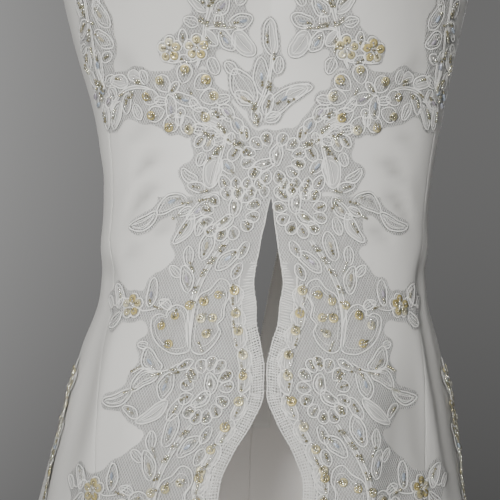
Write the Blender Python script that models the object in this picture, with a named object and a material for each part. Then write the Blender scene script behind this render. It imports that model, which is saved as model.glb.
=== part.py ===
"""A floor-length satin wedding dress with corded lace and an open front slit.

The dress is filled out and empty: it keeps the form that it has when worn. It is cut in
five full-length satin panels: one front, two sides and two backs. The front has no waist
seam and is slit from just above the waist to the hem. The slit and the bodice carry
lace sewn flat on the satin, and the lace runs out past the slit in free scallops. The
centre back is a zip, undone to the hip.

Units are metres. +Z is up, the front faces -Y, and +X is on the right of someone who
faces the front. The origin is midway between the shoulders, where the wearer holds the
dress up. Angles go round the dress from 0 at centre front to 180 degrees at centre back,
positive towards +X.
"""

import itertools
import math

import bmesh
import bpy
import numpy as np
from mathutils import Matrix, Vector
from mathutils.bvhtree import BVHTree

# ---------------------------------------------------------------- driving sizes

SATIN = 0.0015  # wall of satin with its interlining
SEAM_GAP = 0.0004  # between panels that meet at a seam
LACE = 0.0022  # thickest lace: petals, leaves and cord
NET_SHARE = 0.42  # net ground, as a share of LACE
LACE_LIFT = 0.0006  # lace over the satin that carries it
LACE_CLEAR = 0.0005  # the least that lift comes to anywhere
REACH = 0.02  # how far off the smooth form the satin is looked for
CHORD_TESTS = 4  # tests along each side of a lace triangle
SHOULDER_SLOPE = 0.30  # fall of the strap towards its outer edge
SHOULDER_START = 0.062  # distance from the centre line at which it begins to fall
SHOULDER_FALL = 0.090  # height below the shoulder over which the slope grows

WAIST = -0.440
SLIT_TOP = -0.410
HEM = -1.470
NECK_LOW = -0.165  # lowest point of the front neckline
STRAP_BASE = -0.095  # where the neckline meets the strap
BACK_NECK = -0.150
UNDERARM = -0.214
ARMHOLE_DIP = 0.012  # the armhole's lowest point, below its ends at the side seams
FRONT_NECK_SHARE = (0.45, 0.72)  # least and most of the front's half width inside the strap line
BACK_NECK_SHARE = (0.40, 0.75)

SLIT_SPREAD = 0.174  # half width that the slit gains for each unit of height below its top
SLIT_EASE = 0.22  # how fast that slows further down

ZIP_FOOT = -0.600
ZIP_CLOSED = -0.549  # the teeth are closed up to here
ZIP_PARTED = -0.530
ZIP_REVEAL = 0.0035  # panel edge to teeth, on each side
ZIP_TAPE = 0.0155
TAPE = 0.0009

# Sections of the dress, hem to shoulder. The shape between two rows is a smooth curve.
HEIGHT, HALF_WIDTH, FRONT, BACK, LEAN, ROUND = range(6)
SECTIONS = np.array([
    # height  half_width  front_depth  back_depth  lean    roundness
    (-1.470,  0.372,      0.300,       0.385,     -0.012,  2.05),
    (-1.210,  0.306,      0.246,       0.318,     -0.012,  2.05),
    (-0.960,  0.240,      0.192,       0.243,     -0.011,  2.05),
    (-0.760,  0.190,      0.152,       0.187,     -0.010,  2.10),
    (-0.640,  0.1615,     0.130,       0.156,     -0.009,  2.20),
    (-0.600,  0.1540,     0.124,       0.147,     -0.007,  2.25),
    (-0.560,  0.1455,     0.117,       0.136,     -0.005,  2.30),
    (-0.520,  0.1345,     0.108,       0.122,     -0.004,  2.35),
    (-0.484,  0.1235,     0.098,       0.107,     -0.002,  2.35),
    (-0.440,  0.1225,     0.092,       0.095,     -0.001,  2.35),
    (-0.400,  0.1238,     0.090,       0.089,      0.001,  2.35),
    (-0.349,  0.1310,     0.095,       0.090,      0.002,  2.35),
    (-0.292,  0.1450,     0.105,       0.096,      0.000,  2.30),
    (-0.240,  0.1560,     0.112,       0.103,      0.000,  2.25),
    (-0.190,  0.1580,     0.112,       0.104,      0.000,  2.20),
    (-0.135,  0.1560,     0.104,       0.100,      0.000,  2.15),
    (-0.085,  0.1530,     0.087,       0.087,      0.000,  2.10),
    (-0.043,  0.1500,     0.064,       0.064,      0.000,  2.10),
    (-0.012,  0.1480,     0.036,       0.036,      0.000,  2.10),
    (0.0012,  0.1470,     0.018,       0.018,      0.000,  2.10),
    (0.0036,  0.1466,     0.008,       0.008,      0.000,  2.10),
    (0.0040,  0.1465,     0.0004,      0.0004,     0.000,  2.10),
])

# Bust cups: shaped by the cut and its darts.
CUP_OUT = 0.015
CUP_X = 0.066
CUP_Z = -0.248
CUP_SPREAD_X = 0.046
CUP_SPREAD_Z = 0.052

# Folds of the skirt: where each lies round the dress, how far it stands out (or in) at
# the hem, how wide it is, and the height at which it starts.
FOLDS = [
    # angle   depth    width  start
    (-29.0,   0.008,   8.0,  -0.74),
    (-52.0,  -0.021,   5.5,  -0.45),
    (-64.0,   0.024,   7.0,  -0.45),
    (-80.0,  -0.017,   6.5,  -0.52),
    (-94.0,   0.021,   7.5,  -0.55),
    (-110.0, -0.020,   7.0,  -0.57),
    (-126.0,  0.025,   8.0,  -0.60),
    (-142.0, -0.019,   6.5,  -0.58),
    (-156.0,  0.022,   7.0,  -0.62),
    (-170.0, -0.013,   5.0,  -0.66),
    (31.0,    0.007,   9.0,  -0.78),
    (54.5,   -0.022,   5.5,  -0.46),
    (67.0,    0.021,   7.0,  -0.46),
    (83.0,   -0.019,   7.0,  -0.51),
    (99.0,    0.024,   8.0,  -0.57),
    (115.0,  -0.018,   6.5,  -0.60),
    (129.0,   0.020,   7.5,  -0.58),
    (146.0,  -0.021,   7.0,  -0.63),
    (162.0,   0.023,   7.5,  -0.60),
]

# Angles of the seams: the side-front seam on each side, and the side-back seam.
SEAMS = np.array([
    # height   left_front  right_front  back
    (-1.470,   45.0,       47.0,        121.0),
    (-0.900,   43.0,       46.0,        121.0),
    (-0.640,   42.5,       46.5,        121.0),
    (-0.600,   46.0,       50.0,        121.0),
    (-0.560,   52.0,       55.0,        121.0),
    (-0.505,   63.0,       66.0,        120.0),
    (-0.440,   68.0,       72.0,        119.0),
    (-0.349,   64.0,       68.0,        119.0),
    (-0.240,   60.0,       61.0,        120.0),
    (0.004,    60.0,       60.0,        120.0),
])

# Edges of the front and back above the underarm, as distances from the centre line.
EDGES = np.array([
    # height   front_neck  front_arm  back_neck  back_arm
    (-1.470,   0.0780,     0.3300,    0.0780,    0.3300),
    (-0.440,   0.0780,     0.1400,    0.0780,    0.1400),
    (-0.240,   0.0800,     0.1450,    0.0820,    0.1450),
    (-0.214,   0.0810,     0.1400,    0.0830,    0.1400),
    (-0.190,   0.0810,     0.1280,    0.0830,    0.1300),
    (-0.160,   0.0800,     0.1195,    0.0825,    0.1225),
    (-0.125,   0.0780,     0.1145,    0.0800,    0.1175),
    (-0.095,   0.0760,     0.1130,    0.0780,    0.1155),
    (-0.043,   0.0720,     0.1130,    0.0730,    0.1140),
    (0.004,    0.0700,     0.1140,    0.0700,    0.1140),
])

# Half width of the undone back opening, between the two rows of teeth.
BACK_OPENING = np.array([
    # height   half_gap
    (-1.470,   0.0000),
    (-0.549,   0.0000),
    (-0.530,   0.0030),
    (-0.508,   0.0050),
    (-0.482,   0.0080),
    (-0.444,   0.0150),
    (-0.406,   0.0230),
    (-0.349,   0.0320),
    (-0.235,   0.0470),
    (0.004,    0.0700),
])

LACE_REPEAT = 0.126  # height of one repeat of the border lace
FIRST_SCALLOP = SLIT_TOP - 0.134  # height of the middle of the first scallop
SCALLOP_IN = 0.005  # how far the free edge hangs past the satin's between scallops
SCALLOP_OUT = 0.022  # and at the middle of a scallop
SCALLOP_START = SLIT_TOP - 0.058  # where the lace leaves the satin's edge
SCALLOP_RISE = 0.020  # height over which it does
CENTRE_GAP = 0.0005  # the free edges' least distance from the centre line
FREE_LEAST = 0.004  # least width of the mesh's outermost strip
BORDER_TOP_GAP = 0.0007  # between the border and the yoke above it
BORDER_END_GAP = 0.003  # between the border and the hem
BORDER_WIDTH = 0.060  # lace on the satin, from the satin's edge
BORDER_WAVE = 0.006
BORDER_ROWS = 8  # rows of the mesh in one repeat
BORDER_WAVE_AT = 0.039
DAISY_IN = 0.015  # a daisy's centre, in from the satin's edge
DAISY_RADIUS = 0.014
DAISY_RING = 0.007  # half width of its ring of petals
DAISY_EYE = 0.006
STEM_IN = 0.046  # the border's stem, in from the satin's edge
STEM_LEAN = 0.2
STEM_WIDTH = 0.008
STEM_RAISED = 0.7
RIDGE, RIM = 1.0, 0.3  # how far the middle and the edge of a leaf are raised
STRIP_FALL = 0.75  # how much of that a strip of lace loses at its edges
YOKE_RAISED = (0.35, 0.65)  # least of the yoke, and its motifs over that
YOKE_FADE = 0.6  # how much lower its motifs are at the top
LEAVES = [
    # rows below the scallop's middle, then (out, rise, half height) along the leaf, in mm
    (0, [(8, 0, 9), (18, -1, 8), (28, 3, 6), (38, 8, 1.5)]),
    (5, [(7, 0, 8), (15, 3, 9), (24, 5, 8), (31, 6, 2)]),
]
SHARP = math.radians(50)  # edges sharper than this are not shaded smooth

COLOURS = {
    "satin": ((0.83, 0.82, 0.79, 1.0), 0.42),
    "lace": ((0.88, 0.87, 0.84, 1.0), 0.75),
    "zip_tape": ((0.80, 0.79, 0.75, 1.0), 0.80),
    "metal": ((0.78, 0.76, 0.70, 1.0), 0.28),
}

# ---------------------------------------------------------------- the dress's form


def section(column, level):
    """One column of SECTIONS at a level, which is a row number that may lie between rows."""
    values = SECTIONS[:, column]
    last = len(values) - 1
    row = min(int(max(level, 0.0)), last - 1)
    share = level - row
    before, after = values[max(row - 1, 0)], values[min(row + 2, last)]
    low, high = values[row], values[row + 1]
    slope_low, slope_high = (high - before) / 2, (after - low) / 2
    cube, square = share**3, share**2
    return (
        (2 * cube - 3 * square + 1) * low
        + (cube - 2 * square + share) * slope_low
        + (3 * square - 2 * cube) * high
        + (cube - square) * slope_high
    )


FINE_LEVELS = np.linspace(0, len(SECTIONS) - 1, 1901)
FINE_HEIGHTS = np.maximum.accumulate([section(HEIGHT, level) for level in FINE_LEVELS])


def level_at(height):
    """The level of a height."""
    return float(np.interp(height, FINE_HEIGHTS, FINE_LEVELS))


def looked_up(table, height, column):
    """A value of a table whose first column is height."""
    return float(np.interp(height, table[:, 0], table[:, column]))


def smooth(share):
    """0 to 1 with no corner at either end."""
    share = min(max(share, 0.0), 1.0)
    return share * share * (3 - 2 * share)


def fold_out(angle, height):
    """How far the folds move the cloth out at this place."""
    out = 0.0
    for middle, depth, width, start in FOLDS:
        grown = math.sqrt(smooth((start - height) / (start - HEM)))
        out += depth * grown * math.exp(-(((math.degrees(angle) - middle) / width) ** 2))
    return out


def surface(angle, level):
    """The point on the outside of the satin at an angle and a level."""
    height = section(HEIGHT, level)
    power = 2 / section(ROUND, level)
    across, along = math.sin(angle), math.cos(angle)
    depth = section(FRONT if along > 0 else BACK, level)
    x = section(HALF_WIDTH, level) * math.copysign(abs(across) ** power, across)
    y = -depth * math.copysign(abs(along) ** power, along)
    if along > 0:
        rise = math.exp(-(((height - CUP_Z) / CUP_SPREAD_Z) ** 2))
        y -= CUP_OUT * rise * math.exp(-(((abs(x) - CUP_X) / CUP_SPREAD_X) ** 2))
    out = fold_out(angle, height)
    grown = smooth((height + SHOULDER_FALL) / SHOULDER_FALL)
    slope = SHOULDER_SLOPE * max(abs(x) - SHOULDER_START, 0.0) * grown
    return Vector((
        x + out * across + section(LEAN, level),
        y - out * along,
        height - slope,
    ))


def outward(angle, level):
    """The satin's outward direction at an angle and a level."""
    step = 1e-3
    top = len(SECTIONS) - 1
    high, low = min(level + 10 * step, top), max(level - 10 * step, 0)
    round_it = surface(angle + step, level) - surface(angle - step, level)
    up = surface(angle, high) - surface(angle, low)
    return round_it.cross(up).normalized()


def walled(angle, level, lift, thickness):
    """The outer and inner points of a wall there, its outside that far over the satin's."""
    point, way = surface(angle, level), outward(angle, level)
    return point + way * lift, point + way * (lift - thickness)


def angle_of(x, level):
    """The front angle at a distance from the centre line."""
    share = min(abs(x) / section(HALF_WIDTH, level), 0.999)
    return math.copysign(math.asin(share ** (section(ROUND, level) / 2)), x)


def across(angle, level):
    """Distance from the centre line at an angle."""
    return section(HALF_WIDTH, level) * abs(math.sin(angle)) ** (2 / section(ROUND, level))


def slit_gap(height):
    """Half the width between the satin's two edges at the slit."""
    below = max(SLIT_TOP - height, 0.0)
    return SLIT_SPREAD * below / (1 + SLIT_EASE * below)


# ---------------------------------------------------------------- making objects


def material(name):
    """The material of that name, made once."""
    found = bpy.data.materials.get(name)
    if found:
        return found
    colour, roughness = COLOURS[name]
    made = bpy.data.materials.new(name)
    made.use_nodes = True
    shader = made.node_tree.nodes["Principled BSDF"]
    shader.inputs["Base Color"].default_value = colour
    shader.inputs["Roughness"].default_value = roughness
    shader.inputs["Metallic"].default_value = 1.0 if name == "metal" else 0.0
    return made


def add_object(name, mesh, material_name, collection):
    """An object of that mesh, shaded smooth, in the collection."""
    mesh.materials.append(material(material_name))
    mesh.shade_smooth()
    obj = bpy.data.objects.new(name, mesh)
    collection.objects.link(obj)
    return obj


def wall(name, grids, material_name, collection):
    """One closed wall from grids of (outer point, inner point). A missing pair is None.

    Both faces are made from the same grid, and quads along its free edges join them. Each
    quad is split along the same diagonal on both faces.
    """
    bm = bmesh.new()
    place = {}

    def vertex(point):
        key = tuple(round(c, 6) for c in point)
        if key not in place:
            place[key] = bm.verts.new(point)
        return place[key]

    outer, pair = [], {}
    for grid in grids:
        verts = [[vertex(p[0]) if p else None for p in row] for row in grid]
        for row, points in zip(verts, grid):
            pair.update({v: vertex(p[1]) for v, p in zip(row, points) if p})
        for low, high in zip(verts, verts[1:]):
            for a, b, c, d in zip(low, low[1:], high[1:], high):
                if None not in (a, b, c, d):
                    outer += [(a, b, c), (a, c, d)]
    for corners in outer:
        bm.faces.new(corners)
    free = [[loop.vert for loop in (edge.link_loops[0], edge.link_loops[0].link_loop_next)]
            for edge in bm.edges if edge.is_boundary]
    for corners in outer:
        bm.faces.new([pair[v] for v in reversed(corners)])
    for a, b in free:
        bm.faces.new((b, a, pair[a], pair[b]))
    bmesh.ops.recalc_face_normals(bm, faces=bm.faces)
    mesh = bpy.data.meshes.new(name)
    bm.to_mesh(mesh)
    bm.free()
    obj = add_object(name, mesh, material_name, collection)
    mesh.set_sharp_from_angle(angle=SHARP)
    return obj


# ---------------------------------------------------------------- satin panels

SKIRT_ROWS = [
    -1.470, -1.370, -1.260, -1.150, -1.040, -0.935, -0.835, -0.745, -0.665,
    ZIP_FOOT, ZIP_CLOSED, ZIP_PARTED, -0.508, -0.484, -0.462, WAIST,
    SLIT_TOP, -0.386, -0.362, -0.333, -0.303, -0.274, -0.246,
]
BODICE_ROWS = [UNDERARM, -0.190, -0.163, -0.130, STRAP_BASE]
STRAP_ROWS = [-0.068, -0.043, -0.022, -0.007, 0.0012, 0.0036, 0.0040]


def dipped(height, dip):
    """A row's height where the neckline dips by that much at the foot of the strap."""
    start = SKIRT_ROWS[-3]
    return height - dip * smooth((height - start) / (STRAP_BASE - start))


def half_panel(side, edge, neck, outer, neck_low, cells):
    """Half of the front, or one back, from the centre out to its seam and up to the shoulder.

    edge, neck and outer give the angle of the centre edge, of the line that becomes the
    strap's inner edge, and of the seam that becomes the armhole, for a height and a side.
    """
    neck_cells, strap_cells = cells
    body = [*SKIRT_ROWS, *BODICE_ROWS]
    rows = []
    for number, height in enumerate([*body, *STRAP_ROWS]):
        on_strap = number >= len(body)
        row = []
        for cell in range(neck_cells + strap_cells + 1):
            at = height
            if cell < neck_cells:
                if on_strap:
                    row.append(None)
                    continue
                turn = math.pi / 2 * cell / neck_cells
                at = dipped(height, (STRAP_BASE - neck_low) * math.cos(turn))
                share, low, high = math.sin(turn), edge(at), neck(at, side)
            else:
                share = (cell - neck_cells) / strap_cells
                low, high = neck(at, side), outer(at, side)
            angle = low + (high - low) * share
            row.append(walled(side * angle, level_at(at), 0.0, SATIN))
        rows.append(row)
    return rows


def seam_angle(height, side, front, part):
    """A seam's angle, moved by half the seam gap towards one part: -1 front, 1 back."""
    column = (2 if side > 0 else 1) if front else 3
    angle = math.radians(looked_up(SEAMS, height, column))
    radius = section(HALF_WIDTH, level_at(height))
    return angle + part * SEAM_GAP / 2 / radius


def front_edge(height):
    """Angle of the slit's edge, and of the centre line above the slit."""
    return angle_of(slit_gap(height), level_at(height))


def front_outer(height, side):
    """Angle of the front's outer edge: the side-front seam, then the armhole."""
    seam = seam_angle(height, side, True, -1)
    arm = angle_of(looked_up(EDGES, height, 2), level_at(height))
    return min(seam, arm) if height > UNDERARM else seam


def front_neck(height, side):
    """Angle of the line that becomes the front strap's inner edge."""
    line = angle_of(looked_up(EDGES, height, 1), level_at(height))
    if height > STRAP_BASE:
        return line
    edge, outer = front_edge(height), front_outer(height, side)
    least, most = (edge + share * (outer - edge) for share in FRONT_NECK_SHARE)
    return min(max(line, least), most)


def back_opening(height):
    """Half the distance between the teeth at the back, 0 where the zip is closed."""
    return looked_up(BACK_OPENING, height, 1)


def back_edge(height):
    """Angle of a back panel's centre edge: the zip's reveal, or the closed seam below it."""
    reveal = ZIP_REVEAL * smooth((height - ZIP_FOOT) / (ZIP_CLOSED - ZIP_FOOT))
    gap = back_opening(height) + reveal + SEAM_GAP / 2
    return math.pi - angle_of(gap, level_at(height))


def back_outer(height, side):
    """Angle of a back's outer edge: the side-back seam, then the armhole."""
    seam = seam_angle(height, side, False, 1)
    arm = math.pi - angle_of(looked_up(EDGES, height, 4), level_at(height))
    return max(seam, arm) if height > UNDERARM else seam


def back_neck(height, side):
    """Angle of the line that becomes the back strap's inner edge."""
    line = math.pi - angle_of(looked_up(EDGES, height, 3), level_at(height))
    if height > STRAP_BASE:
        return line
    edge, outer = back_edge(height), back_outer(height, side)
    least, most = (edge + share * (outer - edge) for share in BACK_NECK_SHARE)
    return max(min(line, least), most)


def side_panel(side, cells=15):
    """A side panel, from the side-front seam to the side-back seam, up to the underarm."""
    rows = []
    for height in [*SKIRT_ROWS, UNDERARM]:
        row = []
        for cell in range(cells + 1):
            share = cell / cells
            scoop = ARMHOLE_DIP * (1 - (2 * share - 1) ** 2) if height == UNDERARM else 0.0
            at = height - scoop
            low, high = seam_angle(at, side, True, 1), seam_angle(at, side, False, -1)
            row.append(walled(side * (low + (high - low) * share), level_at(at), 0.0, SATIN))
        rows.append(row)
    return rows


def make_satin(collection):
    """The five panels. Returns their outsides as a search tree, to lay lace on."""
    halves = [
        half_panel(side, front_edge, front_neck, front_outer, NECK_LOW, (6, 4))
        for side in (1, -1)
    ]
    panels = {"front": halves, "side_right": [side_panel(1)], "side_left": [side_panel(-1)]}
    for name, side in (("back_right", 1), ("back_left", -1)):
        panels[name] = [half_panel(side, back_edge, back_neck, back_outer, BACK_NECK, (8, 5))]
    points, faces = [], []
    for name, grids in panels.items():
        mesh = wall(name, grids, "satin", collection).data
        start = len(points)
        points += [v.co.copy() for v in mesh.vertices]
        faces += [[start + i for i in p.vertices] for p in mesh.polygons]
    return BVHTree.FromPolygons(points, faces)


# ---------------------------------------------------------------- lace


def on_satin(satin, place, lift):
    """A point over the satin at (angle, height), or over its smooth form past its edges."""
    angle, level = place[0], level_at(place[1])
    point, way = surface(angle, level), outward(angle, level)
    hit = satin.ray_cast(point + way * REACH, -way, 2 * REACH)[0]
    return (hit if hit is not None else point) + way * lift


def grid_triangles(grid):
    """The triangles of a grid, as its entries."""
    for low, high in zip(grid, grid[1:]):
        for a, b, c, d in zip(low, low[1:], high[1:], high):
            yield a, b, c
            yield a, c, d


def lift_clear(satin, points, ways, grids):
    """Raises points along their ways where a triangle between them comes too near the satin."""
    steps = range(CHORD_TESTS + 1)
    tests = [(a, b, CHORD_TESTS - a - b) for a in steps for b in steps if a + b <= CHORD_TESTS]
    short = dict.fromkeys(points, 0.0)
    for corners in itertools.chain(*map(grid_triangles, grids)):
        way = ways[corners[0]]
        for test in tests:
            parts = (points[c] * part / CHORD_TESTS for c, part in zip(corners, test))
            sample = sum(parts, Vector())
            hit = satin.ray_cast(sample + way * REACH, -way, 2 * REACH)[0]
            if hit is not None:
                gap = (sample - hit).dot(way)
                short.update({c: max(short[c], LACE_CLEAR - gap) for c in corners})
    for place, more in short.items():
        points[place] += ways[place] * more


def lace_mesh(name, satin, grids, collection):
    """A lace piece from grids of (angle, height, raised), raised being 0 for net to 1.

    Grids that share an edge share its entries.
    """
    places = {place for grid in grids for row in grid for place in row}
    ways = {place: outward(place[0], level_at(place[1])) for place in places}
    points = {place: on_satin(satin, place, LACE_LIFT) for place in sorted(places)}
    for _ in range(2):
        lift_clear(satin, points, ways, grids)
    pairs = {}
    for place in places:
        thickness = LACE * (NET_SHARE + (1 - NET_SHARE) * place[2])
        pairs[place] = (points[place] + ways[place] * thickness, points[place])
    grids = [[[pairs[place] for place in row] for row in grid] for grid in grids]
    wall(name, grids, "lace", collection)


def repeat_offset(height):
    """Height above the nearest scallop's middle."""
    turns = (height - FIRST_SCALLOP) / LACE_REPEAT
    return (turns - round(turns)) * LACE_REPEAT


def scallop(height):
    """How far the free edge hangs out past the satin."""
    wave = 0.5 + 0.5 * math.cos(2 * math.pi * repeat_offset(height) / LACE_REPEAT)
    started = smooth((SCALLOP_START - height) / SCALLOP_RISE)
    return (SCALLOP_IN + (SCALLOP_OUT - SCALLOP_IN) * wave) * started


def border_width(height):
    """Width of the lace on the satin, which waves with the repeat."""
    turns = (repeat_offset(height) - BORDER_WAVE_AT) / LACE_REPEAT
    return BORDER_WIDTH + BORDER_WAVE * math.cos(2 * math.pi * turns)


def border_raised(x, height, edge):
    """Raised daisy, leaves and cord of the border, 0 to 1."""
    offset = repeat_offset(height)
    away = math.hypot(x - edge - DAISY_IN, offset)
    ring, eye = (away - DAISY_RADIUS) / DAISY_RING, away / DAISY_EYE
    stem = (x - edge - STEM_IN - STEM_LEAN * offset) / STEM_WIDTH
    daisy = math.exp(-(ring**2)) + math.exp(-(eye**2))
    return min(max(daisy, STEM_RAISED * math.exp(-(stem**2))), RIDGE)


def lace_leaf(side, base, shape):
    """A leaf that grows out of three points of the border's outer edge, top to bottom."""
    angle, height, _ = base[1]
    start = across(angle, level_at(height))
    grid = [base]
    for out, rise, half in shape:
        row = []
        for share in (1, 0, -1):
            z = height + (rise + half * share) / 1000
            x = start + out / 1000
            row.append((side * angle_of(x, level_at(z)), z, RIM if share else RIDGE))
        grid.append(row)
    return grid


def lace_border(side, satin, collection):
    """The lace along one edge of the slit, from its top to the hem."""
    grid, leaves = [], []
    step = LACE_REPEAT / BORDER_ROWS
    heights = np.arange(FIRST_SCALLOP + LACE_REPEAT, HEM + BORDER_END_GAP, -step)
    for height in [SLIT_TOP - BORDER_TOP_GAP, *heights]:
        level = level_at(height)
        edge = slit_gap(height)
        free = max(edge - scallop(height), CENTRE_GAP)
        last = edge + border_width(height)
        row = []
        for x in [free, *np.linspace(max(edge, free + FREE_LEAST), last, 5)]:
            row.append((side * angle_of(x, level), height, border_raised(x, height, edge)))
        grid.append(row)
    for row in range(1, len(grid) - 1):
        for after, shape in LEAVES:
            if (row - 1) % BORDER_ROWS == after:
                leaves.append(lace_leaf(side, [grid[row + k][-1] for k in (-1, 0, 1)], shape))
    name = "lace_border_right" if side > 0 else "lace_border_left"
    lace_mesh(name, satin, [grid, *leaves], collection)


def lace_strip(name, satin, path, collection, by_angle=False, cells=3):
    """A lace piece along a path.

    Each row of path is a place, a height above the top of the slit and a half width, in
    millimetres. The place is the distance from the centre line or, by_angle, an angle.
    """
    path = np.array(path, float)
    rows = []
    for number, (place, height, half) in enumerate(path):
        before, after = path[max(number - 1, 0)], path[min(number + 1, len(path) - 1)]
        way = Vector((after[0] - before[0], after[1] - before[1]))
        if by_angle:
            radius = 1000 * section(HALF_WIDTH, level_at(SLIT_TOP + height / 1000))
            way.x *= radius * math.radians(1)
        way.normalize()
        row = []
        for cell in range(cells + 1):
            share = 2 * cell / cells - 1
            aside = Vector((-way.y, way.x)) * half * share
            z = SLIT_TOP + (height + aside.y) / 1000
            level = level_at(z)
            if by_angle:
                radius = section(HALF_WIDTH, level)
                angle = math.radians(place) + aside.x / 1000 / radius
            else:
                angle = angle_of((place + aside.x) / 1000, level)
            at_end = number in (0, len(path) - 1)
            row.append((angle, z, RIM if at_end else RIDGE - STRIP_FALL * abs(share)))
        rows.append(row)
    lace_mesh(name, satin, [rows], collection)


# Lace of the bodice, drawn for the right side and mirrored: distance from the centre
# line, height above the top of the slit, half width, all in millimetres.
BAND = [
    (24, 44, 7), (33, 50, 10), (43, 53, 13), (52, 61, 20), (62, 65, 24), (72, 68, 22),
    (82, 71, 13), (92, 72, 9), (101, 71, 8), (107, 70, 6),
]
COLUMN = [
    (57, 92, 9), (55, 100, 15), (52, 108, 13), (48, 116, 11), (44, 125, 12), (40, 135, 12),
    (37, 146, 11), (35, 157, 9), (34, 168, 6), (34, 176, 2),
]
ARMHOLE = [
    (114, 80, 5), (114, 90, 7), (115, 101, 9), (117, 112, 10), (119, 124, 11), (120, 137, 10),
    (119, 150, 9), (117, 163, 8), (114, 176, 7), (110, 190, 6), (106, 204, 5),
]
SPRIG = [
    (-6, 54, 4), (-5, 62, 12), (-4, 70, 17), (-2, 79, 15), (-1, 88, 8), (0, 96, 6),
    (1, 105, 7), (1, 114, 5), (0, 122, 2),
]
# The trim on each side panel, by angle: angle, height from the top of the slit, half width.
SIDE_TRIM = [
    (74, -118, 2), (75, -130, 7), (76, -148, 9), (77, -168, 8), (78, -190, 9), (79, -214, 8),
    (79, -240, 9), (79, -268, 8), (79, -298, 9), (79, -330, 8), (79, -364, 8), (79, -396, 5),
    (79, -412, 2),
]
YOKE = [
    # height above the slit's top, half width, both in millimetres
    (0.8, 58), (10, 58), (20, 50), (29, 40), (37, 27), (44, 13), (48, 4),
]


def lace_yoke(satin, collection):
    """The lace across the centre front, just above the slit."""
    rows = []
    least, motifs = YOKE_RAISED
    for height, half in YOKE:
        z = SLIT_TOP + height / 1000
        fade = 1 - YOKE_FADE * height / YOKE[-1][0]
        row = []
        for share in np.linspace(-1, 1, 11):
            raised = least + motifs * fade * abs(math.cos(3 * math.pi * share))
            row.append((angle_of(share * half / 1000, level_at(z)), z, raised))
        rows.append(row)
    lace_mesh("lace_yoke", satin, [rows], collection)


def make_lace(satin, collection):
    """Every lace piece."""
    lace_yoke(satin, collection)
    lace_strip("lace_sprig", satin, SPRIG, collection)
    for side, word in ((1, "right"), (-1, "left")):
        lace_border(side, satin, collection)
        for kind, path in (("band", BAND), ("column", COLUMN), ("armhole", ARMHOLE)):
            turned = [(side * place, height, half) for place, height, half in path]
            lace_strip(f"lace_{kind}_{word}", satin, turned, collection)
        turned = [(side * place, height, half) for place, height, half in SIDE_TRIM]
        lace_strip(f"lace_side_{word}", satin, turned, collection, by_angle=True)


# ---------------------------------------------------------------- zip

TAPE_IN = SATIN + 0.0006  # the tape's outer face, inside the satin's
PLATE = (0.0062, 0.0010, 0.0100)  # a slider plate: width, thickness, height
PLATE_GAP = 0.0005  # between a plate and the tape
SLIDER_UP = 0.0035  # the slider's middle, above the last closed teeth
POST = (0.0018, 0.0018)  # the post that joins the plates: width and height
POST_IN = 0.0003  # its distance from the plates' top edge
LUG_OUT = 0.0030  # the bridge's reach from the outer plate
LUG_HEIGHT = 0.0052
LUG_BAR = 0.0009  # its width, and its two uprights
LUG_TOP = 0.0008  # its outer bar
LUG_FOOT = 0.0002
LUG_SUNK = 0.0006  # how far it is let into the plate
LUG_UP = 0.0004  # its middle, above the slider's
PULL = (0.0034, 0.0010, 0.0240)  # the tab: width, thickness, length
PULL_EYE = (0.0018, 0.0034)  # the eye in the tab that takes the bridge
PULL_BAR = 0.0011  # the bar above the eye
THROUGH = 0.01  # a cutter's length where it goes right through


def back_frame(height):
    """A matrix at centre back: X across, Y outward and Z up along the cloth."""
    low, high = ZIP_CLOSED, ZIP_PARTED
    a, b = (surface(math.pi, level_at(h)) for h in (low, high))
    up = Vector((0, b.y - a.y, b.z - a.z)).normalized()
    out = up.cross(Vector((1, 0, 0)))
    share = (height - low) / (high - low)
    place = a + (b - a) * share
    return Matrix.Translation(place) @ Matrix((Vector((1, 0, 0)), out, up)).transposed().to_4x4()


def make_tape(side, collection):
    """One zip tape, inside the back panel's edge."""
    rows = []
    heights = [dipped(h, STRAP_BASE - BACK_NECK) for h in [*SKIRT_ROWS, *BODICE_ROWS]]
    for height in [h for h in heights if h >= ZIP_FOOT]:
        level = level_at(height)
        near = back_opening(height) + SEAM_GAP / 2
        row = []
        for x in np.linspace(near, near + ZIP_TAPE, 3):
            angle = side * (math.pi - angle_of(x, level))
            row.append(walled(angle, level, -TAPE_IN, TAPE))
        rows.append(row)
    wall("zip_tape_right" if side > 0 else "zip_tape_left", [rows], "zip_tape", collection)


def block(size, place):
    """A closed box as a bmesh, of that size and centre."""
    bm = bmesh.new()
    bmesh.ops.create_cube(bm, size=1.0)
    bmesh.ops.scale(bm, vec=size, verts=bm.verts)
    bmesh.ops.translate(bm, vec=place, verts=bm.verts)
    return bm


def united(name, blocks, cutters, matrix, collection):
    """Blocks joined and cut, in a frame given by the matrix."""
    helpers = []
    for number, bm in enumerate([*blocks, *cutters]):
        mesh = bpy.data.meshes.new(f"{name}_{number}")
        bm.to_mesh(mesh)
        bm.free()
        helpers.append(bpy.data.objects.new(f"{name}_{number}", mesh))
    base, others = helpers[0], helpers[1:]
    bpy.context.scene.collection.objects.link(base)
    for number, other in enumerate(others):
        bpy.context.scene.collection.objects.link(other)
        join = base.modifiers.new("join", "BOOLEAN")
        join.operation = "UNION" if number < len(blocks) - 1 else "DIFFERENCE"
        join.object = other
    bpy.context.view_layer.update()
    graph = bpy.context.evaluated_depsgraph_get()
    mesh = bpy.data.meshes.new_from_object(base.evaluated_get(graph))
    for helper in helpers:
        bpy.data.objects.remove(helper)
    add_object(name, mesh, "metal", collection).matrix_world = matrix


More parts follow.
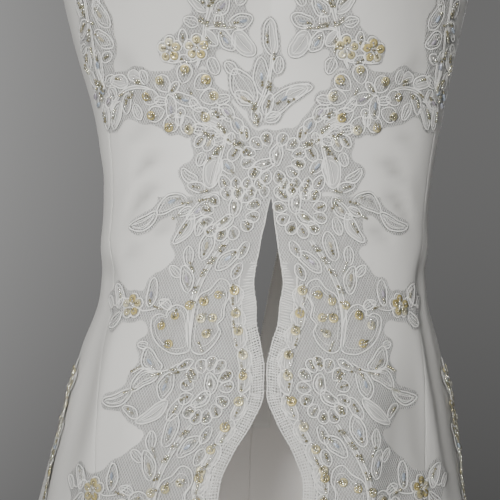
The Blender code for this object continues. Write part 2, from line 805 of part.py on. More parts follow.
def make_slider(collection):
    """The slider: its two plates either side of the tapes, its post and its bridge.

    Returns its frame and, in that frame, the middle of the bridge's window, where the tab
    hangs.
    """
    matrix = back_frame(ZIP_CLOSED + SLIDER_UP)
    outer_y = -TAPE_IN + PLATE_GAP + PLATE[1] / 2
    inner_y = -TAPE_IN - TAPE - PLATE_GAP - PLATE[1] / 2
    face_y = outer_y + PLATE[1] / 2
    post_z = PLATE[2] / 2 - POST[1] / 2 - POST_IN
    lug_y = face_y + (LUG_OUT - LUG_SUNK) / 2
    blocks = [
        block(PLATE, (0, outer_y, 0)),
        block(PLATE, (0, inner_y, 0)),
        block((POST[0], outer_y - inner_y, POST[1]), (0, (outer_y + inner_y) / 2, post_z)),
        block((LUG_BAR, LUG_OUT + LUG_SUNK, LUG_HEIGHT), (0, lug_y, LUG_UP)),
    ]
    window = (THROUGH, LUG_OUT - LUG_FOOT - LUG_TOP, LUG_HEIGHT - 2 * LUG_BAR)
    axis = Vector((0, face_y + LUG_FOOT + window[1] / 2, LUG_UP))
    united("zip_slider", blocks, [block(window, axis)], matrix, collection)
    return matrix, axis


def make_pull(matrix, axis, collection):
    """The tab, hanging from the slider's bridge on the bar above its eye."""
    width, thick, length = PULL
    middle = -(length / 2 - PULL_BAR / 2)
    blocks = [block((width, thick, length), (0, 0, middle))]
    eye_z = -(PULL_BAR / 2 + PULL_EYE[1] / 2)
    cutters = [block((PULL_EYE[0], THROUGH, PULL_EYE[1]), (0, 0, eye_z))]
    united("zip_pull", blocks, cutters, matrix @ Matrix.Translation(axis), collection)


# ---------------------------------------------------------------- the whole dress


def main():
    """Builds the dress."""
    for obj in list(bpy.data.objects):
        bpy.data.objects.remove(obj)
    collection = bpy.data.collections.new("wedding_dress")
    bpy.context.scene.collection.children.link(collection)
    satin = make_satin(collection)
    make_lace(satin, collection)
    for side in (1, -1):
        make_tape(side, collection)
    matrix, axis = make_slider(collection)
    make_pull(matrix, axis, collection)


main()
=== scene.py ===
"""Looks of a floor-length satin wedding dress with corded and beaded lace.

The satin, lace, beads and zip are built on the dress's own form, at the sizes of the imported
model, which stays the fixed frame. Units are metres, and millimetres in the lace drawings.
+Z is up, the front faces -Y, and +X is on the right of someone who faces the front. Angles
go round the dress from 0 at centre front to 180 degrees at centre back, positive to +X.
"""

import logging
import math
from dataclasses import dataclass, field
from enum import Enum, IntEnum
from typing import Callable, Sequence

import bmesh
import bpy
import numpy as np
from mathutils import Matrix, Vector


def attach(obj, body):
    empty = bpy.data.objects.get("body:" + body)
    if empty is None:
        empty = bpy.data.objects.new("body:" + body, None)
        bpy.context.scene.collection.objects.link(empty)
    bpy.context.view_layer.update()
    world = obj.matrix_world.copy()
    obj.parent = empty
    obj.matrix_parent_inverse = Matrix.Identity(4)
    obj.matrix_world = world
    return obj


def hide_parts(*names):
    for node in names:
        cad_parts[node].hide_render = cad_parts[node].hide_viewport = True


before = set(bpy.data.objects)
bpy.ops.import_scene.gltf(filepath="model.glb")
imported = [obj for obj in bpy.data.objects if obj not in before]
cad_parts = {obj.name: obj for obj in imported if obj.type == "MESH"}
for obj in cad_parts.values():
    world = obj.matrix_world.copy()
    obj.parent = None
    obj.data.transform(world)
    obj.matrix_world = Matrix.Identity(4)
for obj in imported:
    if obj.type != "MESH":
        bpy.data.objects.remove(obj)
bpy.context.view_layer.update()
LOG = logging.getLogger("wedding_dress")

# ---------------------------------------------------------------- sizes of the cut

SATIN = 0.0015
SHOULDER_SLOPE, SHOULDER_START, SHOULDER_FALL = 0.30, 0.062, 0.090
WAIST, SLIT_TOP, HEM = -0.440, -0.410, -1.470
NECK_LOW, STRAP_BASE, BACK_NECK, UNDERARM = -0.165, -0.095, -0.150, -0.214
ARMHOLE_DIP = 0.012
FRONT_NECK_SHARE, BACK_NECK_SHARE = (0.45, 0.72), (0.40, 0.75)
SLIT_SPREAD, SLIT_EASE = 0.174, 0.22
ZIP_FOOT, ZIP_CLOSED, ZIP_PARTED = -0.600, -0.549, -0.530
ZIP_REVEAL, ZIP_TAPE, TAPE, SEAM_GAP = 0.0035, 0.0155, 0.0009, 0.0004
TAPE_IN = SATIN + 0.0006
LACE_REPEAT = 0.126
FIRST_SCALLOP = SLIT_TOP - 0.134
SCALLOP_START = SLIT_TOP - 0.058
SCALLOP_IN, SCALLOP_OUT, SCALLOP_RISE, SCALLOP_LOW = 0.005, 0.0225, 0.020, 0.007
BORDER_WIDTH, BORDER_WAVE, BORDER_WAVE_AT = 0.060, 0.006, 0.039
CUP_OUT, CUP_X, CUP_Z, CUP_SPREAD_X, CUP_SPREAD_Z = 0.015, 0.066, -0.248, 0.046, 0.052


class Column(IntEnum):
    """Columns of SECTIONS."""

    HEIGHT = 0
    HALF_WIDTH = 1
    FRONT = 2
    BACK = 3
    LEAN = 4
    ROUND = 5


SECTIONS = np.array([
    # height  half_width  front_depth  back_depth  lean    roundness
    (-1.470,  0.372,      0.300,       0.385,     -0.012,  2.05),
    (-1.210,  0.306,      0.246,       0.318,     -0.012,  2.05),
    (-0.960,  0.240,      0.192,       0.243,     -0.011,  2.05),
    (-0.760,  0.190,      0.152,       0.187,     -0.010,  2.10),
    (-0.640,  0.1615,     0.130,       0.156,     -0.009,  2.20),
    (-0.600,  0.1540,     0.124,       0.147,     -0.007,  2.25),
    (-0.560,  0.1455,     0.117,       0.136,     -0.005,  2.30),
    (-0.520,  0.1345,     0.108,       0.122,     -0.004,  2.35),
    (-0.484,  0.1235,     0.098,       0.107,     -0.002,  2.35),
    (-0.440,  0.1225,     0.092,       0.095,     -0.001,  2.35),
    (-0.400,  0.1238,     0.090,       0.089,      0.001,  2.35),
    (-0.349,  0.1310,     0.095,       0.090,      0.002,  2.35),
    (-0.292,  0.1450,     0.105,       0.096,      0.000,  2.30),
    (-0.240,  0.1560,     0.112,       0.103,      0.000,  2.25),
    (-0.190,  0.1580,     0.112,       0.104,      0.000,  2.20),
    (-0.135,  0.1560,     0.104,       0.100,      0.000,  2.15),
    (-0.085,  0.1530,     0.087,       0.087,      0.000,  2.10),
    (-0.043,  0.1500,     0.064,       0.064,      0.000,  2.10),
    (-0.012,  0.1480,     0.036,       0.036,      0.000,  2.10),
    (0.0012,  0.1470,     0.018,       0.018,      0.000,  2.10),
    (0.0036,  0.1466,     0.008,       0.008,      0.000,  2.10),
    (0.0040,  0.1465,     0.0004,      0.0004,     0.000,  2.10),
])

FOLDS = [
    # angle   depth    width  start height
    (-29.0,   0.008,   8.0,  -0.74),
    (-52.0,  -0.021,   5.5,  -0.60),
    (-64.0,   0.024,   7.0,  -0.58),
    (-80.0,  -0.017,   6.5,  -0.52),
    (-94.0,   0.021,   7.5,  -0.55),
    (-110.0, -0.020,   7.0,  -0.57),
    (-126.0,  0.025,   8.0,  -0.60),
    (-142.0, -0.019,   6.5,  -0.58),
    (-156.0,  0.022,   7.0,  -0.62),
    (-170.0, -0.013,   5.0,  -0.66),
    (31.0,    0.007,   9.0,  -0.78),
    (54.5,   -0.022,   5.5,  -0.62),
    (67.0,    0.021,   7.0,  -0.60),
    (83.0,   -0.019,   7.0,  -0.51),
    (99.0,    0.024,   8.0,  -0.57),
    (115.0,  -0.018,   6.5,  -0.60),
    (129.0,   0.020,   7.5,  -0.58),
    (146.0,  -0.021,   7.0,  -0.63),
    (162.0,   0.023,   7.5,  -0.60),
]

# Soft creases of the worn satin. Turn is measured from level, in degrees; length, width and
# depth are in millimetres, and a negative depth is a trough. Narrow troughs also darken the
# satin's colour, which is painted shade in the crease.
CREASES = [
    # angle  height  turn  length  width  depth
    (-45.0,  -0.365,    12,   16,   4.5,  -1.8),
    (-43.0,  -0.387,    24,   15,   4.6,  -3.4),
    (-46.0,  -0.411,    30,   19,   4.4,  -4.0),
    (-35.0,  -0.432,    18,   13,   5.0,  -3.0),
    (-50.0,  -0.449,    16,   12,   5.0,  -1.8),
    (-49.0,  -0.399,    26,   17,   6.0,   1.8),
    (-42.0,  -0.424,    24,   18,   6.0,   1.6),
    (46.0,   -0.368,   -14,   15,   4.5,  -2.0),
    (43.0,   -0.391,   -22,   17,   4.6,  -3.6),
    (47.0,   -0.415,   -28,   18,   4.4,  -3.4),
    (37.0,   -0.436,   -20,   13,   5.0,  -2.6),
    (50.0,   -0.402,   -24,   16,   6.0,   1.8),
    (62.0,   -0.560,    88,   90,  14.4,  -5.0),
    (-48.0,  -0.555,   -86,   70,  14.0,   2.6),
    (-59.0,  -0.560,   -87,   75,  14.4,  -2.6),
    (46.0,   -0.322,    40,   24,  11.4,  -2.3),
    (53.0,   -0.306,    52,   20,   9.5,   1.9),
    (-46.0,  -0.318,   -40,   22,  11.4,  -1.9),
    (-54.0,  -0.300,   -55,   20,   9.5,   1.6),
    (12.0,   -0.296,    78,   26,  13.3,  -1.6),
    (-13.0,  -0.290,   -80,   24,  13.3,  -1.5),
    (24.0,   -0.600,    86,   70,  15.0,   4.2),
    (36.5,   -0.582,    82,   48,  14.4,  -3.4),
    (46.0,   -0.577,    88,   50,  14.4,  -3.4),
    (72.0,   -0.575,    90,   70,  14.4,  -3.0),
    (-36.0,  -0.585,   -84,   70,  19.0,   3.4),
    (-31.0,  -0.640,   -82,   60,  17.1,  -3.4),
    (-76.0,  -0.442,     5,   28,  11.4,   1.2),
    (-70.0,  -0.461,    -8,   26,   8.5,  -1.6),
    (77.0,   -0.445,    -6,   30,  11.4,   1.2),
    (71.0,   -0.464,     8,   24,   8.5,  -1.6),
    (-95.0,  -0.395,    16,   26,   9.5,  -2.2),
    (96.0,   -0.392,   -14,   26,   9.5,  -2.2),
    (-104.0, -0.428,    -9,   30,  11.4,   2.7),
    (106.0,  -0.431,    11,   30,  11.4,   2.7),
    (-131.0, -0.424,     7,   32,  11.4,   2.7),
    (-138.0, -0.452,   -10,   30,   9.5,  -2.6),
    (-150.0, -0.498,    14,   34,  11.4,   3.1),
    (-160.0, -0.548,    22,   24,  13.3,   3.5),
    (-128.0, -0.536,   -16,   30,  13.3,  -2.7),
    (133.0,  -0.418,    -6,   32,  11.4,   2.7),
    (140.0,  -0.456,    12,   30,   9.5,  -2.6),
    (152.0,  -0.508,   -12,   36,  11.4,   3.1),
    (163.0,  -0.566,   -20,   24,  13.3,   3.4),
    (127.0,  -0.528,    18,   30,  13.3,  -2.7),
    (-140.0, -0.320,   -35,   26,  11.4,   2.2),
    (141.0,  -0.326,    33,   26,  11.4,   2.2),
]

# Painted shade in crease troughs: troughs this wide or wider get none, and a trough this deep gets full
# painted shade.
UNSHADED_CREASE_WIDTH, FULL_SHADE_DEPTH = 14.5, 3.3

SEAMS = np.array([
    # height   left_front  right_front  back
    (-1.470,   45.0,       47.0,        121.0),
    (-0.900,   43.0,       46.0,        121.0),
    (-0.640,   42.5,       46.5,        121.0),
    (-0.600,   45.5,       48.0,        121.0),
    (-0.560,   49.5,       51.0,        121.0),
    (-0.505,   60.0,       59.0,        120.0),
    (-0.440,   67.0,       68.5,        119.0),
    (-0.349,   64.0,       68.0,        119.0),
    (-0.240,   60.0,       61.0,        120.0),
    (0.004,    60.0,       60.0,        120.0),
])

EDGES = np.array([
    # height   front_neck  front_arm  back_neck  back_arm
    (-1.470,   0.0780,     0.3300,    0.0780,    0.3300),
    (-0.440,   0.0780,     0.1400,    0.0780,    0.1400),
    (-0.240,   0.0800,     0.1450,    0.0820,    0.1450),
    (-0.214,   0.0810,     0.1400,    0.0830,    0.1400),
    (-0.190,   0.0810,     0.1280,    0.0830,    0.1300),
    (-0.160,   0.0800,     0.1195,    0.0825,    0.1225),
    (-0.125,   0.0780,     0.1145,    0.0800,    0.1175),
    (-0.095,   0.0760,     0.1130,    0.0780,    0.1155),
    (-0.043,   0.0720,     0.1130,    0.0730,    0.1140),
    (0.004,    0.0700,     0.1140,    0.0700,    0.1140),
])

BACK_OPENING = np.array([
    # height   half_gap
    (-1.470,   0.0000),
    (-0.549,   0.0000),
    (-0.530,   0.0030),
    (-0.508,   0.0050),
    (-0.482,   0.0080),
    (-0.444,   0.0150),
    (-0.406,   0.0230),
    (-0.349,   0.0320),
    (-0.235,   0.0470),
    (0.004,    0.0700),
])

SKIRT_ROWS = [
    -1.470, -1.370, -1.260, -1.150, -1.040, -0.935, -0.835, -0.745, -0.665,
    ZIP_FOOT, ZIP_CLOSED, ZIP_PARTED, -0.508, -0.484, -0.462, WAIST,
    SLIT_TOP, -0.386, -0.362, -0.333, -0.303, -0.274, -0.246,
]
BODICE_ROWS = [UNDERARM, -0.190, -0.163, -0.130, STRAP_BASE]
STRAP_ROWS = [-0.068, -0.043, -0.022, -0.007, 0.0012, 0.0036, 0.0040]


def smooth(share: np.ndarray | float) -> np.ndarray:
    """0 to 1 with no corner at either end."""
    share = np.clip(share, 0.0, 1.0)
    return share * share * (3 - 2 * share)


def looked_up(table: np.ndarray, height: np.ndarray, column: int) -> np.ndarray:
    """Values of a table whose first column is height."""
    return np.interp(height, table[:, 0], table[:, column])


def slit_gap(height: np.ndarray) -> np.ndarray:
    """Half the width between the satin's two edges at the slit."""
    below = np.maximum(SLIT_TOP - height, 0.0)
    return SLIT_SPREAD * below / (1 + SLIT_EASE * below)


class Form:
    """The outside of the satin as a smooth surface, read by angle and height."""

    LEVEL_STEPS = 1901
    ANGLE_STEP = 2e-3
    LEVEL_STEP = 1e-2

    def __init__(self) -> None:
        """Tabulates height against level, so that a height's level can be read back."""
        self._levels = np.linspace(0, len(SECTIONS) - 1, self.LEVEL_STEPS)
        self._heights = np.maximum.accumulate(self.section(Column.HEIGHT, self._levels))

    def section(self, column: Column, level: np.ndarray) -> np.ndarray:
        """A column of SECTIONS at levels, which are row numbers that may lie between rows.

        Args:
            column: which measure of the section.
            level: row numbers.

        Returns:
            The measure at each level, on a smooth curve through the rows.
        """
        values = SECTIONS[:, column]
        last = len(values) - 1
        level = np.asarray(level, float)
        row = np.clip(level.astype(int), 0, last - 1)
        share = level - row
        before, after = values[np.maximum(row - 1, 0)], values[np.minimum(row + 2, last)]
        low, high = values[row], values[row + 1]
        slope_low, slope_high = (high - before) / 2, (after - low) / 2
        cube, square = share**3, share**2
        return (
            (2 * cube - 3 * square + 1) * low
            + (cube - 2 * square + share) * slope_low
            + (3 * square - 2 * cube) * high
            + (cube - square) * slope_high
        )

    def level(self, height: np.ndarray) -> np.ndarray:
        """The level of each height."""
        return np.interp(height, self._heights, self._levels)

    def half_width(self, height: np.ndarray) -> np.ndarray:
        """Half the dress's width at each height."""
        return self.section(Column.HALF_WIDTH, self.level(height))

    def relief(self, angle: np.ndarray, height: np.ndarray) -> np.ndarray:
        """How far folds and creases move the cloth out, in metres."""
        degrees = np.degrees(angle)
        out = np.zeros(np.broadcast(angle, height).shape)
        for middle, depth, width, start in FOLDS:
            grown = np.sqrt(smooth((start - height) / (start - HEM)))
            out = out + depth * grown * np.exp(-(((degrees - middle) / width) ** 2))
        for crease in CREASES:
            out = out + crease[-1] / 1000 * self.creased(crease, degrees, height)
        return out

    def creased(self, crease: Sequence[float], degrees: np.ndarray, height: np.ndarray) -> np.ndarray:
        """How much of a crease's depth each point has, from 0 to 1."""
        middle, at, turn, length, width, _ = crease
        radius = float(self.half_width(np.array(at))) * 1000
        aside = np.radians(degrees - middle) * radius
        up = (height - at) * 1000
        sine, cosine = math.sin(math.radians(turn)), math.cos(math.radians(turn))
        along, across = aside * cosine + up * sine, up * cosine - aside * sine
        bow = across + 0.12 * along * along / length
        return np.exp(-((along / length) ** 2) - (bow / width) ** 2)

    def shade(self, angle: np.ndarray, height: np.ndarray) -> np.ndarray:
        """How much painted shade each point gets from the hollows of narrow creases, from 0 to 1."""
        degrees, total = np.degrees(angle), 0.0
        for crease in CREASES:
            if crease[-1] < 0 and crease[-2] < UNSHADED_CREASE_WIDTH:
                total = total - crease[-1] / FULL_SHADE_DEPTH * self.creased(crease, degrees, height)
        return np.clip(total, 0.0, 1.0)

    def at_level(self, angle: np.ndarray, level: np.ndarray) -> np.ndarray:
        """Points on the outside of the satin.

        Args:
            angle: angles round the dress, in radians.
            level: levels of SECTIONS.

        Returns:
            The points, with a last axis of three.
        """
        height = self.section(Column.HEIGHT, level)
        power = 2 / self.section(Column.ROUND, level)
        sine, cosine = np.sin(angle), np.cos(angle)
        front = cosine > 0
        depth = np.where(
            front, self.section(Column.FRONT, level), self.section(Column.BACK, level)
        )
        x = self.section(Column.HALF_WIDTH, level) * np.sign(sine) * np.abs(sine) ** power
        y = -depth * np.sign(cosine) * np.abs(cosine) ** power
        rise = np.exp(-(((height - CUP_Z) / CUP_SPREAD_Z) ** 2))
        cup = CUP_OUT * rise * np.exp(-(((np.abs(x) - CUP_X) / CUP_SPREAD_X) ** 2))
        y = y - np.where(front, cup, 0.0)
        out = self.relief(angle, height)
        grown = smooth((height + SHOULDER_FALL) / SHOULDER_FALL)
        slope = SHOULDER_SLOPE * np.maximum(np.abs(x) - SHOULDER_START, 0.0) * grown
        lean = self.section(Column.LEAN, level)
        return np.stack([x + out * sine + lean, y - out * cosine, height - slope], axis=-1)

    def lay(
        self, angle: np.ndarray, height: np.ndarray, lift: np.ndarray | float
    ) -> tuple[np.ndarray, np.ndarray]:
        """Points over the satin, and the outward direction there.

        Args:
            angle: angles round the dress, in radians.
            height: heights of the section that each point lies on.
            lift: distance out from the satin's outside.

        Returns:
            The points and the unit directions.
        """
        angle, height = np.broadcast_arrays(np.asarray(angle, float), np.asarray(height, float))
        level, top = self.level(height), len(SECTIONS) - 1
        high = np.minimum(level + self.LEVEL_STEP, top)
        low = np.maximum(level - self.LEVEL_STEP, 0)
        round_it = self.at_level(angle + self.ANGLE_STEP, level) - self.at_level(
            angle - self.ANGLE_STEP, level
        )
        up = self.at_level(angle, high) - self.at_level(angle, low)
        way = np.cross(round_it, up)
        way /= np.linalg.norm(way, axis=-1, keepdims=True)
        lift = np.broadcast_to(np.asarray(lift, float), angle.shape)
        return self.at_level(angle, level) + way * lift[..., None], way

    def angle_of(self, x: np.ndarray, height: np.ndarray) -> np.ndarray:
        """The front angle at a distance from the centre line, positive to +X."""
        level = self.level(height)
        share = np.minimum(np.abs(x) / self.section(Column.HALF_WIDTH, level), 0.999)
        return np.sign(x) * np.arcsin(share ** (self.section(Column.ROUND, level) / 2))


FORM = Form()

# ---------------------------------------------------------------- shader wiring

Value = bpy.types.NodeSocket | float


class Wiring:
    """Adds nodes to one node tree and joins them."""

    def __init__(self, tree: bpy.types.NodeTree) -> None:
        """Keeps the tree."""
        self.tree = tree

    def node(self, kind: str, **settings: object) -> bpy.types.Node:
        """A node of that type, with its settings."""
        made = self.tree.nodes.new(kind)
        for name, value in settings.items():
            setattr(made, name, value)
        return made

    def feed(self, socket: bpy.types.NodeSocket, value: object) -> None:
        """Links a socket to another, or sets its value."""
        if isinstance(value, bpy.types.NodeSocket):
            self.tree.links.new(value, socket)
        else:
            socket.default_value = value

    def math(self, operation: str, *values: Value, clamp: bool = False) -> bpy.types.NodeSocket:
        """The result of a math node."""
        made = self.node("ShaderNodeMath", operation=operation, use_clamp=clamp)
        for socket, value in zip(made.inputs, values):
            self.feed(socket, value)
        return made.outputs[0]

    def mix(self, share: Value, low: object, high: object) -> bpy.types.NodeSocket:
        """A colour between two."""
        made = self.node("ShaderNodeMix", data_type="RGBA")
        self.feed(made.inputs["Factor"], share)
        self.feed(made.inputs["A"], low)
        self.feed(made.inputs["B"], high)
        return made.outputs["Result"]

    def spread(self, value: Value, low: float, high: float, to: tuple[float, float]) -> Value:
        """A value mapped smoothly from one range to another."""
        made = self.node("ShaderNodeMapRange", interpolation_type="SMOOTHSTEP")
        for name, given in (("Value", value), ("From Min", low), ("From Max", high)):
            self.feed(made.inputs[name], given)
        made.inputs["To Min"].default_value, made.inputs["To Max"].default_value = to
        return made.outputs["Result"]

    def noise(self, place: bpy.types.NodeSocket, scale: Value, detail: float) -> Value:
        """Noise at a place, about 0.5 in the middle."""
        made = self.node("ShaderNodeTexNoise")
        self.feed(made.inputs["Vector"], place)
        self.feed(made.inputs["Scale"], scale)
        made.inputs["Detail"].default_value = detail
        return made.outputs["Fac"]

    def bump(self, height: Value, distance: float, strength: float = 1.0) -> Value:
        """A normal from a height."""
        made = self.node("ShaderNodeBump")
        made.inputs["Strength"].default_value = strength
        made.inputs["Distance"].default_value = distance
        self.feed(made.inputs["Height"], height)
        return made.outputs["Normal"]

    def group(self, tree: bpy.types.NodeTree, **inputs: object) -> bpy.types.Node:
        """A group node, fed by its sockets' names with _ for a space."""
        made = self.node("ShaderNodeGroup", node_tree=tree)
        for name, value in inputs.items():
            self.feed(made.inputs[name.replace("_", " ")], value)
        return made


def new_group(
    name: str, inputs: Sequence[tuple[str, str]], outputs: Sequence[tuple[str, str]]
) -> tuple[Wiring, bpy.types.Node, bpy.types.Node]:
    """An empty shader node group with named inputs and outputs.

    Args:
        name: the group's name.
        inputs: name and kind (Float, Color or Vector) of each input.
        outputs: the same for each output.

    Returns:
        The group's wiring, its input node and its output node.
    """
    tree = bpy.data.node_groups.new(name, "ShaderNodeTree")
    for sockets, way in ((inputs, "INPUT"), (outputs, "OUTPUT")):
        for label, kind in sockets:
            tree.interface.new_socket(name=label, in_out=way, socket_type=f"NodeSocket{kind}")
    wiring = Wiring(tree)
    return wiring, wiring.node("NodeGroupInput"), wiring.node("NodeGroupOutput")


class Effects:
    """The effects that several finishes share, each a node group that is built once."""

    def __init__(self) -> None:
        """Builds the groups."""
        self.mottle = self._mottle()
        self.lattice = self._lattice()
        self.threads = self._threads()
        self.tones = self._tones()

    @staticmethod
    def _mottle() -> bpy.types.NodeTree:
        """Slow changes of colour over cloth or metal, and a mask of them."""
        w, given, out = new_group(
            "soft_mottle",
            [("Vector", "Vector"), ("Scale", "Float"), ("Colour", "Color"), ("Shaded", "Color")],
            [("Colour", "Color"), ("Mask", "Float")],
        )
        cloud = w.noise(given.outputs["Vector"], given.outputs["Scale"], 3.0)
        mask = w.spread(cloud, 0.35, 0.65, (0.0, 1.0))
        w.feed(out.inputs["Mask"], mask)
        w.feed(out.inputs["Colour"], w.mix(mask, given.outputs["Shaded"], given.outputs["Colour"]))
        return w.tree

    @staticmethod
    def _lattice() -> bpy.types.NodeTree:
        """Net: two sets of crossing threads, from texture places in millimetres."""
        w, given, out = new_group(
            "net_lattice",
            [("Vector", "Vector"), ("Cell", "Float"), ("Thread", "Float")],
            [("Mask", "Float"), ("Height", "Float")],
        )
        parts = w.node("ShaderNodeSeparateXYZ")
        w.feed(parts.inputs[0], given.outputs["Vector"])
        across, up = parts.outputs["X"], parts.outputs["Y"]
        near = []
        for sign in (1.0, -1.0):
            slant = w.math("MULTIPLY", up, 0.62 * sign)
            turned = w.math("DIVIDE", w.math("ADD", across, slant), given.outputs["Cell"])
            away = w.math("ABSOLUTE", w.math("SUBTRACT", w.math("FRACT", turned), 0.5))
            near.append(away)
        least = w.math("MINIMUM", *near)
        edge = w.math("MULTIPLY", given.outputs["Thread"], 0.5)
        inside = w.math("SUBTRACT", edge, least)
        w.feed(out.inputs["Mask"], w.math("MULTIPLY", inside, 24.0, clamp=True))
        w.feed(out.inputs["Height"], w.math("DIVIDE", inside, edge, clamp=True))
        return w.tree

    @staticmethod
    def _threads() -> bpy.types.NodeTree:
        """Threads side by side: a wave along one direction of the texture places."""
        w, given, out = new_group(
            "laid_threads",
            [("Vector", "Vector"), ("Pitch", "Float"), ("Slant", "Float")],
            [("Height", "Float")],
        )
        parts = w.node("ShaderNodeSeparateXYZ")
        w.feed(parts.inputs[0], given.outputs["Vector"])
        slanted = w.math("MULTIPLY", parts.outputs["Y"], given.outputs["Slant"])
        place = w.math("DIVIDE", w.math("ADD", parts.outputs["X"], slanted), given.outputs["Pitch"])
        wave = w.math("SINE", w.math("MULTIPLY", place, 2 * math.pi))
        w.feed(out.inputs["Height"], w.math("MULTIPLY_ADD", wave, 0.5, 0.5))
        return w.tree

    @staticmethod
    def _tones() -> bpy.types.NodeTree:
        """One colour of three for each bead or sequin, by the tone that its mesh carries."""
        w, given, out = new_group(
            "bead_tones",
            [("First", "Color"), ("Second", "Color"), ("Third", "Color")],
            [("Colour", "Color"), ("Tone", "Float")],
        )
        tone = w.node("ShaderNodeAttribute", attribute_name="tone").outputs["Fac"]
        lower = w.mix(w.spread(tone, 0.2, 0.5, (0.0, 1.0)), given.outputs["First"], given.outputs["Second"])
        colour = w.mix(w.spread(tone, 0.72, 0.9, (0.0, 1.0)), lower, given.outputs["Third"])
        w.feed(out.inputs["Colour"], colour)
        w.feed(out.inputs["Tone"], tone)
        return w.tree


EFFECTS = Effects()

# ---------------------------------------------------------------- finishes

Colour = tuple[float, float, float]


@dataclass(frozen=True)
class Finish:
    """A finish, with the values that its shader starts from."""

    name: str
    colour: Colour
    roughness: float
    metallic: float = 0.0
    specular: float = 0.5
    sheen: float = 0.0
    coat: float = 0.0

    def build(self) -> bpy.types.Material:
        """The material, made once."""
        found = bpy.data.materials.get(self.name)
        if found:
            return found
        made = bpy.data.materials.new(self.name)
        made.use_nodes = True
        shader = made.node_tree.nodes["Principled BSDF"]
        for socket, value in (
            ("Base Color", (*self.colour, 1.0)),
            ("Roughness", self.roughness),
            ("Metallic", self.metallic),
            ("Specular IOR Level", self.specular),
            ("Sheen Weight", self.sheen),
            ("Coat Weight", self.coat),
        ):
            shader.inputs[socket].default_value = value
        self.dress(Wiring(made.node_tree), shader)
        return made

    def shaded(self, share: float) -> tuple[float, float, float, float]:
        """The finish's colour, darkened to that share."""
        return (*(part * share for part in self.colour), 1.0)

    def dress(self, w: Wiring, shader: bpy.types.Node) -> None:
        """Adds the nodes of this finish.

        Args:
            w: the wiring of the material's tree.
            shader: its Principled BSDF.
        """
        place = w.node("ShaderNodeTexCoord").outputs["Object"]
        cloud = w.group(
            EFFECTS.mottle, Vector=place, Scale=30.0,
            Colour=self.shaded(1.0), Shaded=self.shaded(0.94),
        )
        w.feed(shader.inputs["Base Color"], cloud.outputs["Colour"])


@dataclass(frozen=True)
class SatinFinish(Finish):
    """Duchess satin: a smooth face with a very fine weave, a slow unevenness, and painted shade in its
    narrow crease troughs.
    """

    pucker: float = 0.0007
    grain: float = 0.00002

    def dress(self, w: Wiring, shader: bpy.types.Node) -> None:
        """Adds mottling, painted crease shade, weave and soft puckers.

        Args:
            w: the wiring of the material's tree.
            shader: its Principled BSDF.
        """
        coords = w.node("ShaderNodeTexCoord")
        place = coords.outputs["Object"]
        cloud = w.group(
            EFFECTS.mottle, Vector=place, Scale=14.0,
            Colour=self.shaded(1.0), Shaded=self.shaded(0.965),
        )
        # Painted shade: the satin's colour darkens in the troughs of narrow creases.
        painted_crease_shade = w.node("ShaderNodeAttribute", attribute_name="tone").outputs["Fac"]
        colour = w.mix(painted_crease_shade, cloud.outputs["Colour"], self.shaded(0.67))
        w.feed(shader.inputs["Base Color"], colour)
        rough = w.math("MULTIPLY_ADD", cloud.outputs["Mask"], 0.06, self.roughness)
        w.feed(shader.inputs["Roughness"], rough)
        ribs = w.group(EFFECTS.threads, Vector=coords.outputs["UV"], Pitch=0.45, Slant=0.9)
        weave = w.bump(ribs.outputs["Height"], self.grain)
        soft = w.bump(w.noise(place, 26.0, 2.0), self.pucker)
        w.tree.links.new(weave, soft.node.inputs["Normal"])
        w.feed(shader.inputs["Normal"], soft)


@dataclass(frozen=True)
class NetFinish(Finish):
    """Net ground: open cells between fine crossing threads, with a thin dark film in the cells that is
    painted shade.
    """

    cell: float = 2.05
    thread: float = 0.30
    painted_hole_shade: float = 0.25
    hole_shade_cover: float = 0.32

    def dress(self, w: Wiring, shader: bpy.types.Node) -> None:
        """Adds the lattice, cut out between its threads but for the thin dark film of painted shade there.

        Args:
            w: the wiring of the material's tree.
            shader: its Principled BSDF.
        """
        coords = w.node("ShaderNodeTexCoord")
        net = w.group(
            EFFECTS.lattice, Vector=coords.outputs["UV"], Cell=self.cell, Thread=self.thread
        )
        cloud = w.group(
            EFFECTS.mottle, Vector=coords.outputs["Object"], Scale=60.0,
            Colour=self.shaded(1.0), Shaded=self.shaded(0.90),
        )
        bare = w.node("ShaderNodeAttribute", attribute_name="tone").outputs["Fac"]
        # Painted shade: the cells take a dark colour and a part cover, standing in for the threads' shadow
        # on what lies below.
        colour = w.mix(net.outputs["Mask"], self.shaded(self.painted_hole_shade), cloud.outputs["Colour"])
        w.feed(shader.inputs["Base Color"], colour)
        seen = w.math("MAXIMUM", net.outputs["Mask"], self.hole_shade_cover)
        w.feed(shader.inputs["Alpha"], w.math("SUBTRACT", seen, bare, clamp=True))
        w.feed(shader.inputs["Normal"], w.bump(net.outputs["Height"], 0.0004))


@dataclass(frozen=True)
class CordFinish(Finish):
    """Couched cord: twisted thread, with painted shade on its underside and its foot where it meets the
    net.
    """

    pitch: float = 0.8

    def dress(self, w: Wiring, shader: bpy.types.Node) -> None:
        """Adds the twist and the painted shade of the underside and foot.

        Args:
            w: the wiring of the material's tree.
            shader: its Principled BSDF.
        """
        coords = w.node("ShaderNodeTexCoord")
        parts = w.node("ShaderNodeSeparateXYZ")
        w.feed(parts.inputs[0], coords.outputs["UV"])
        # Painted shade: the cord's colour darkens from its top round to its underside and foot, standing in
        # for its shadow on the net.
        low = w.math("ABSOLUTE", w.math("SUBTRACT", parts.outputs["Y"], 0.5))
        twist = w.group(EFFECTS.threads, Vector=coords.outputs["UV"], Pitch=self.pitch, Slant=0.8)
        tone = w.spread(low, 0.22, 0.36, (0.0, 1.0))
        lit = w.mix(tone, self.shaded(0.18), self.shaded(1.0))
        w.feed(shader.inputs["Base Color"], lit)
        w.feed(shader.inputs["Normal"], w.bump(twist.outputs["Height"], 0.00012))


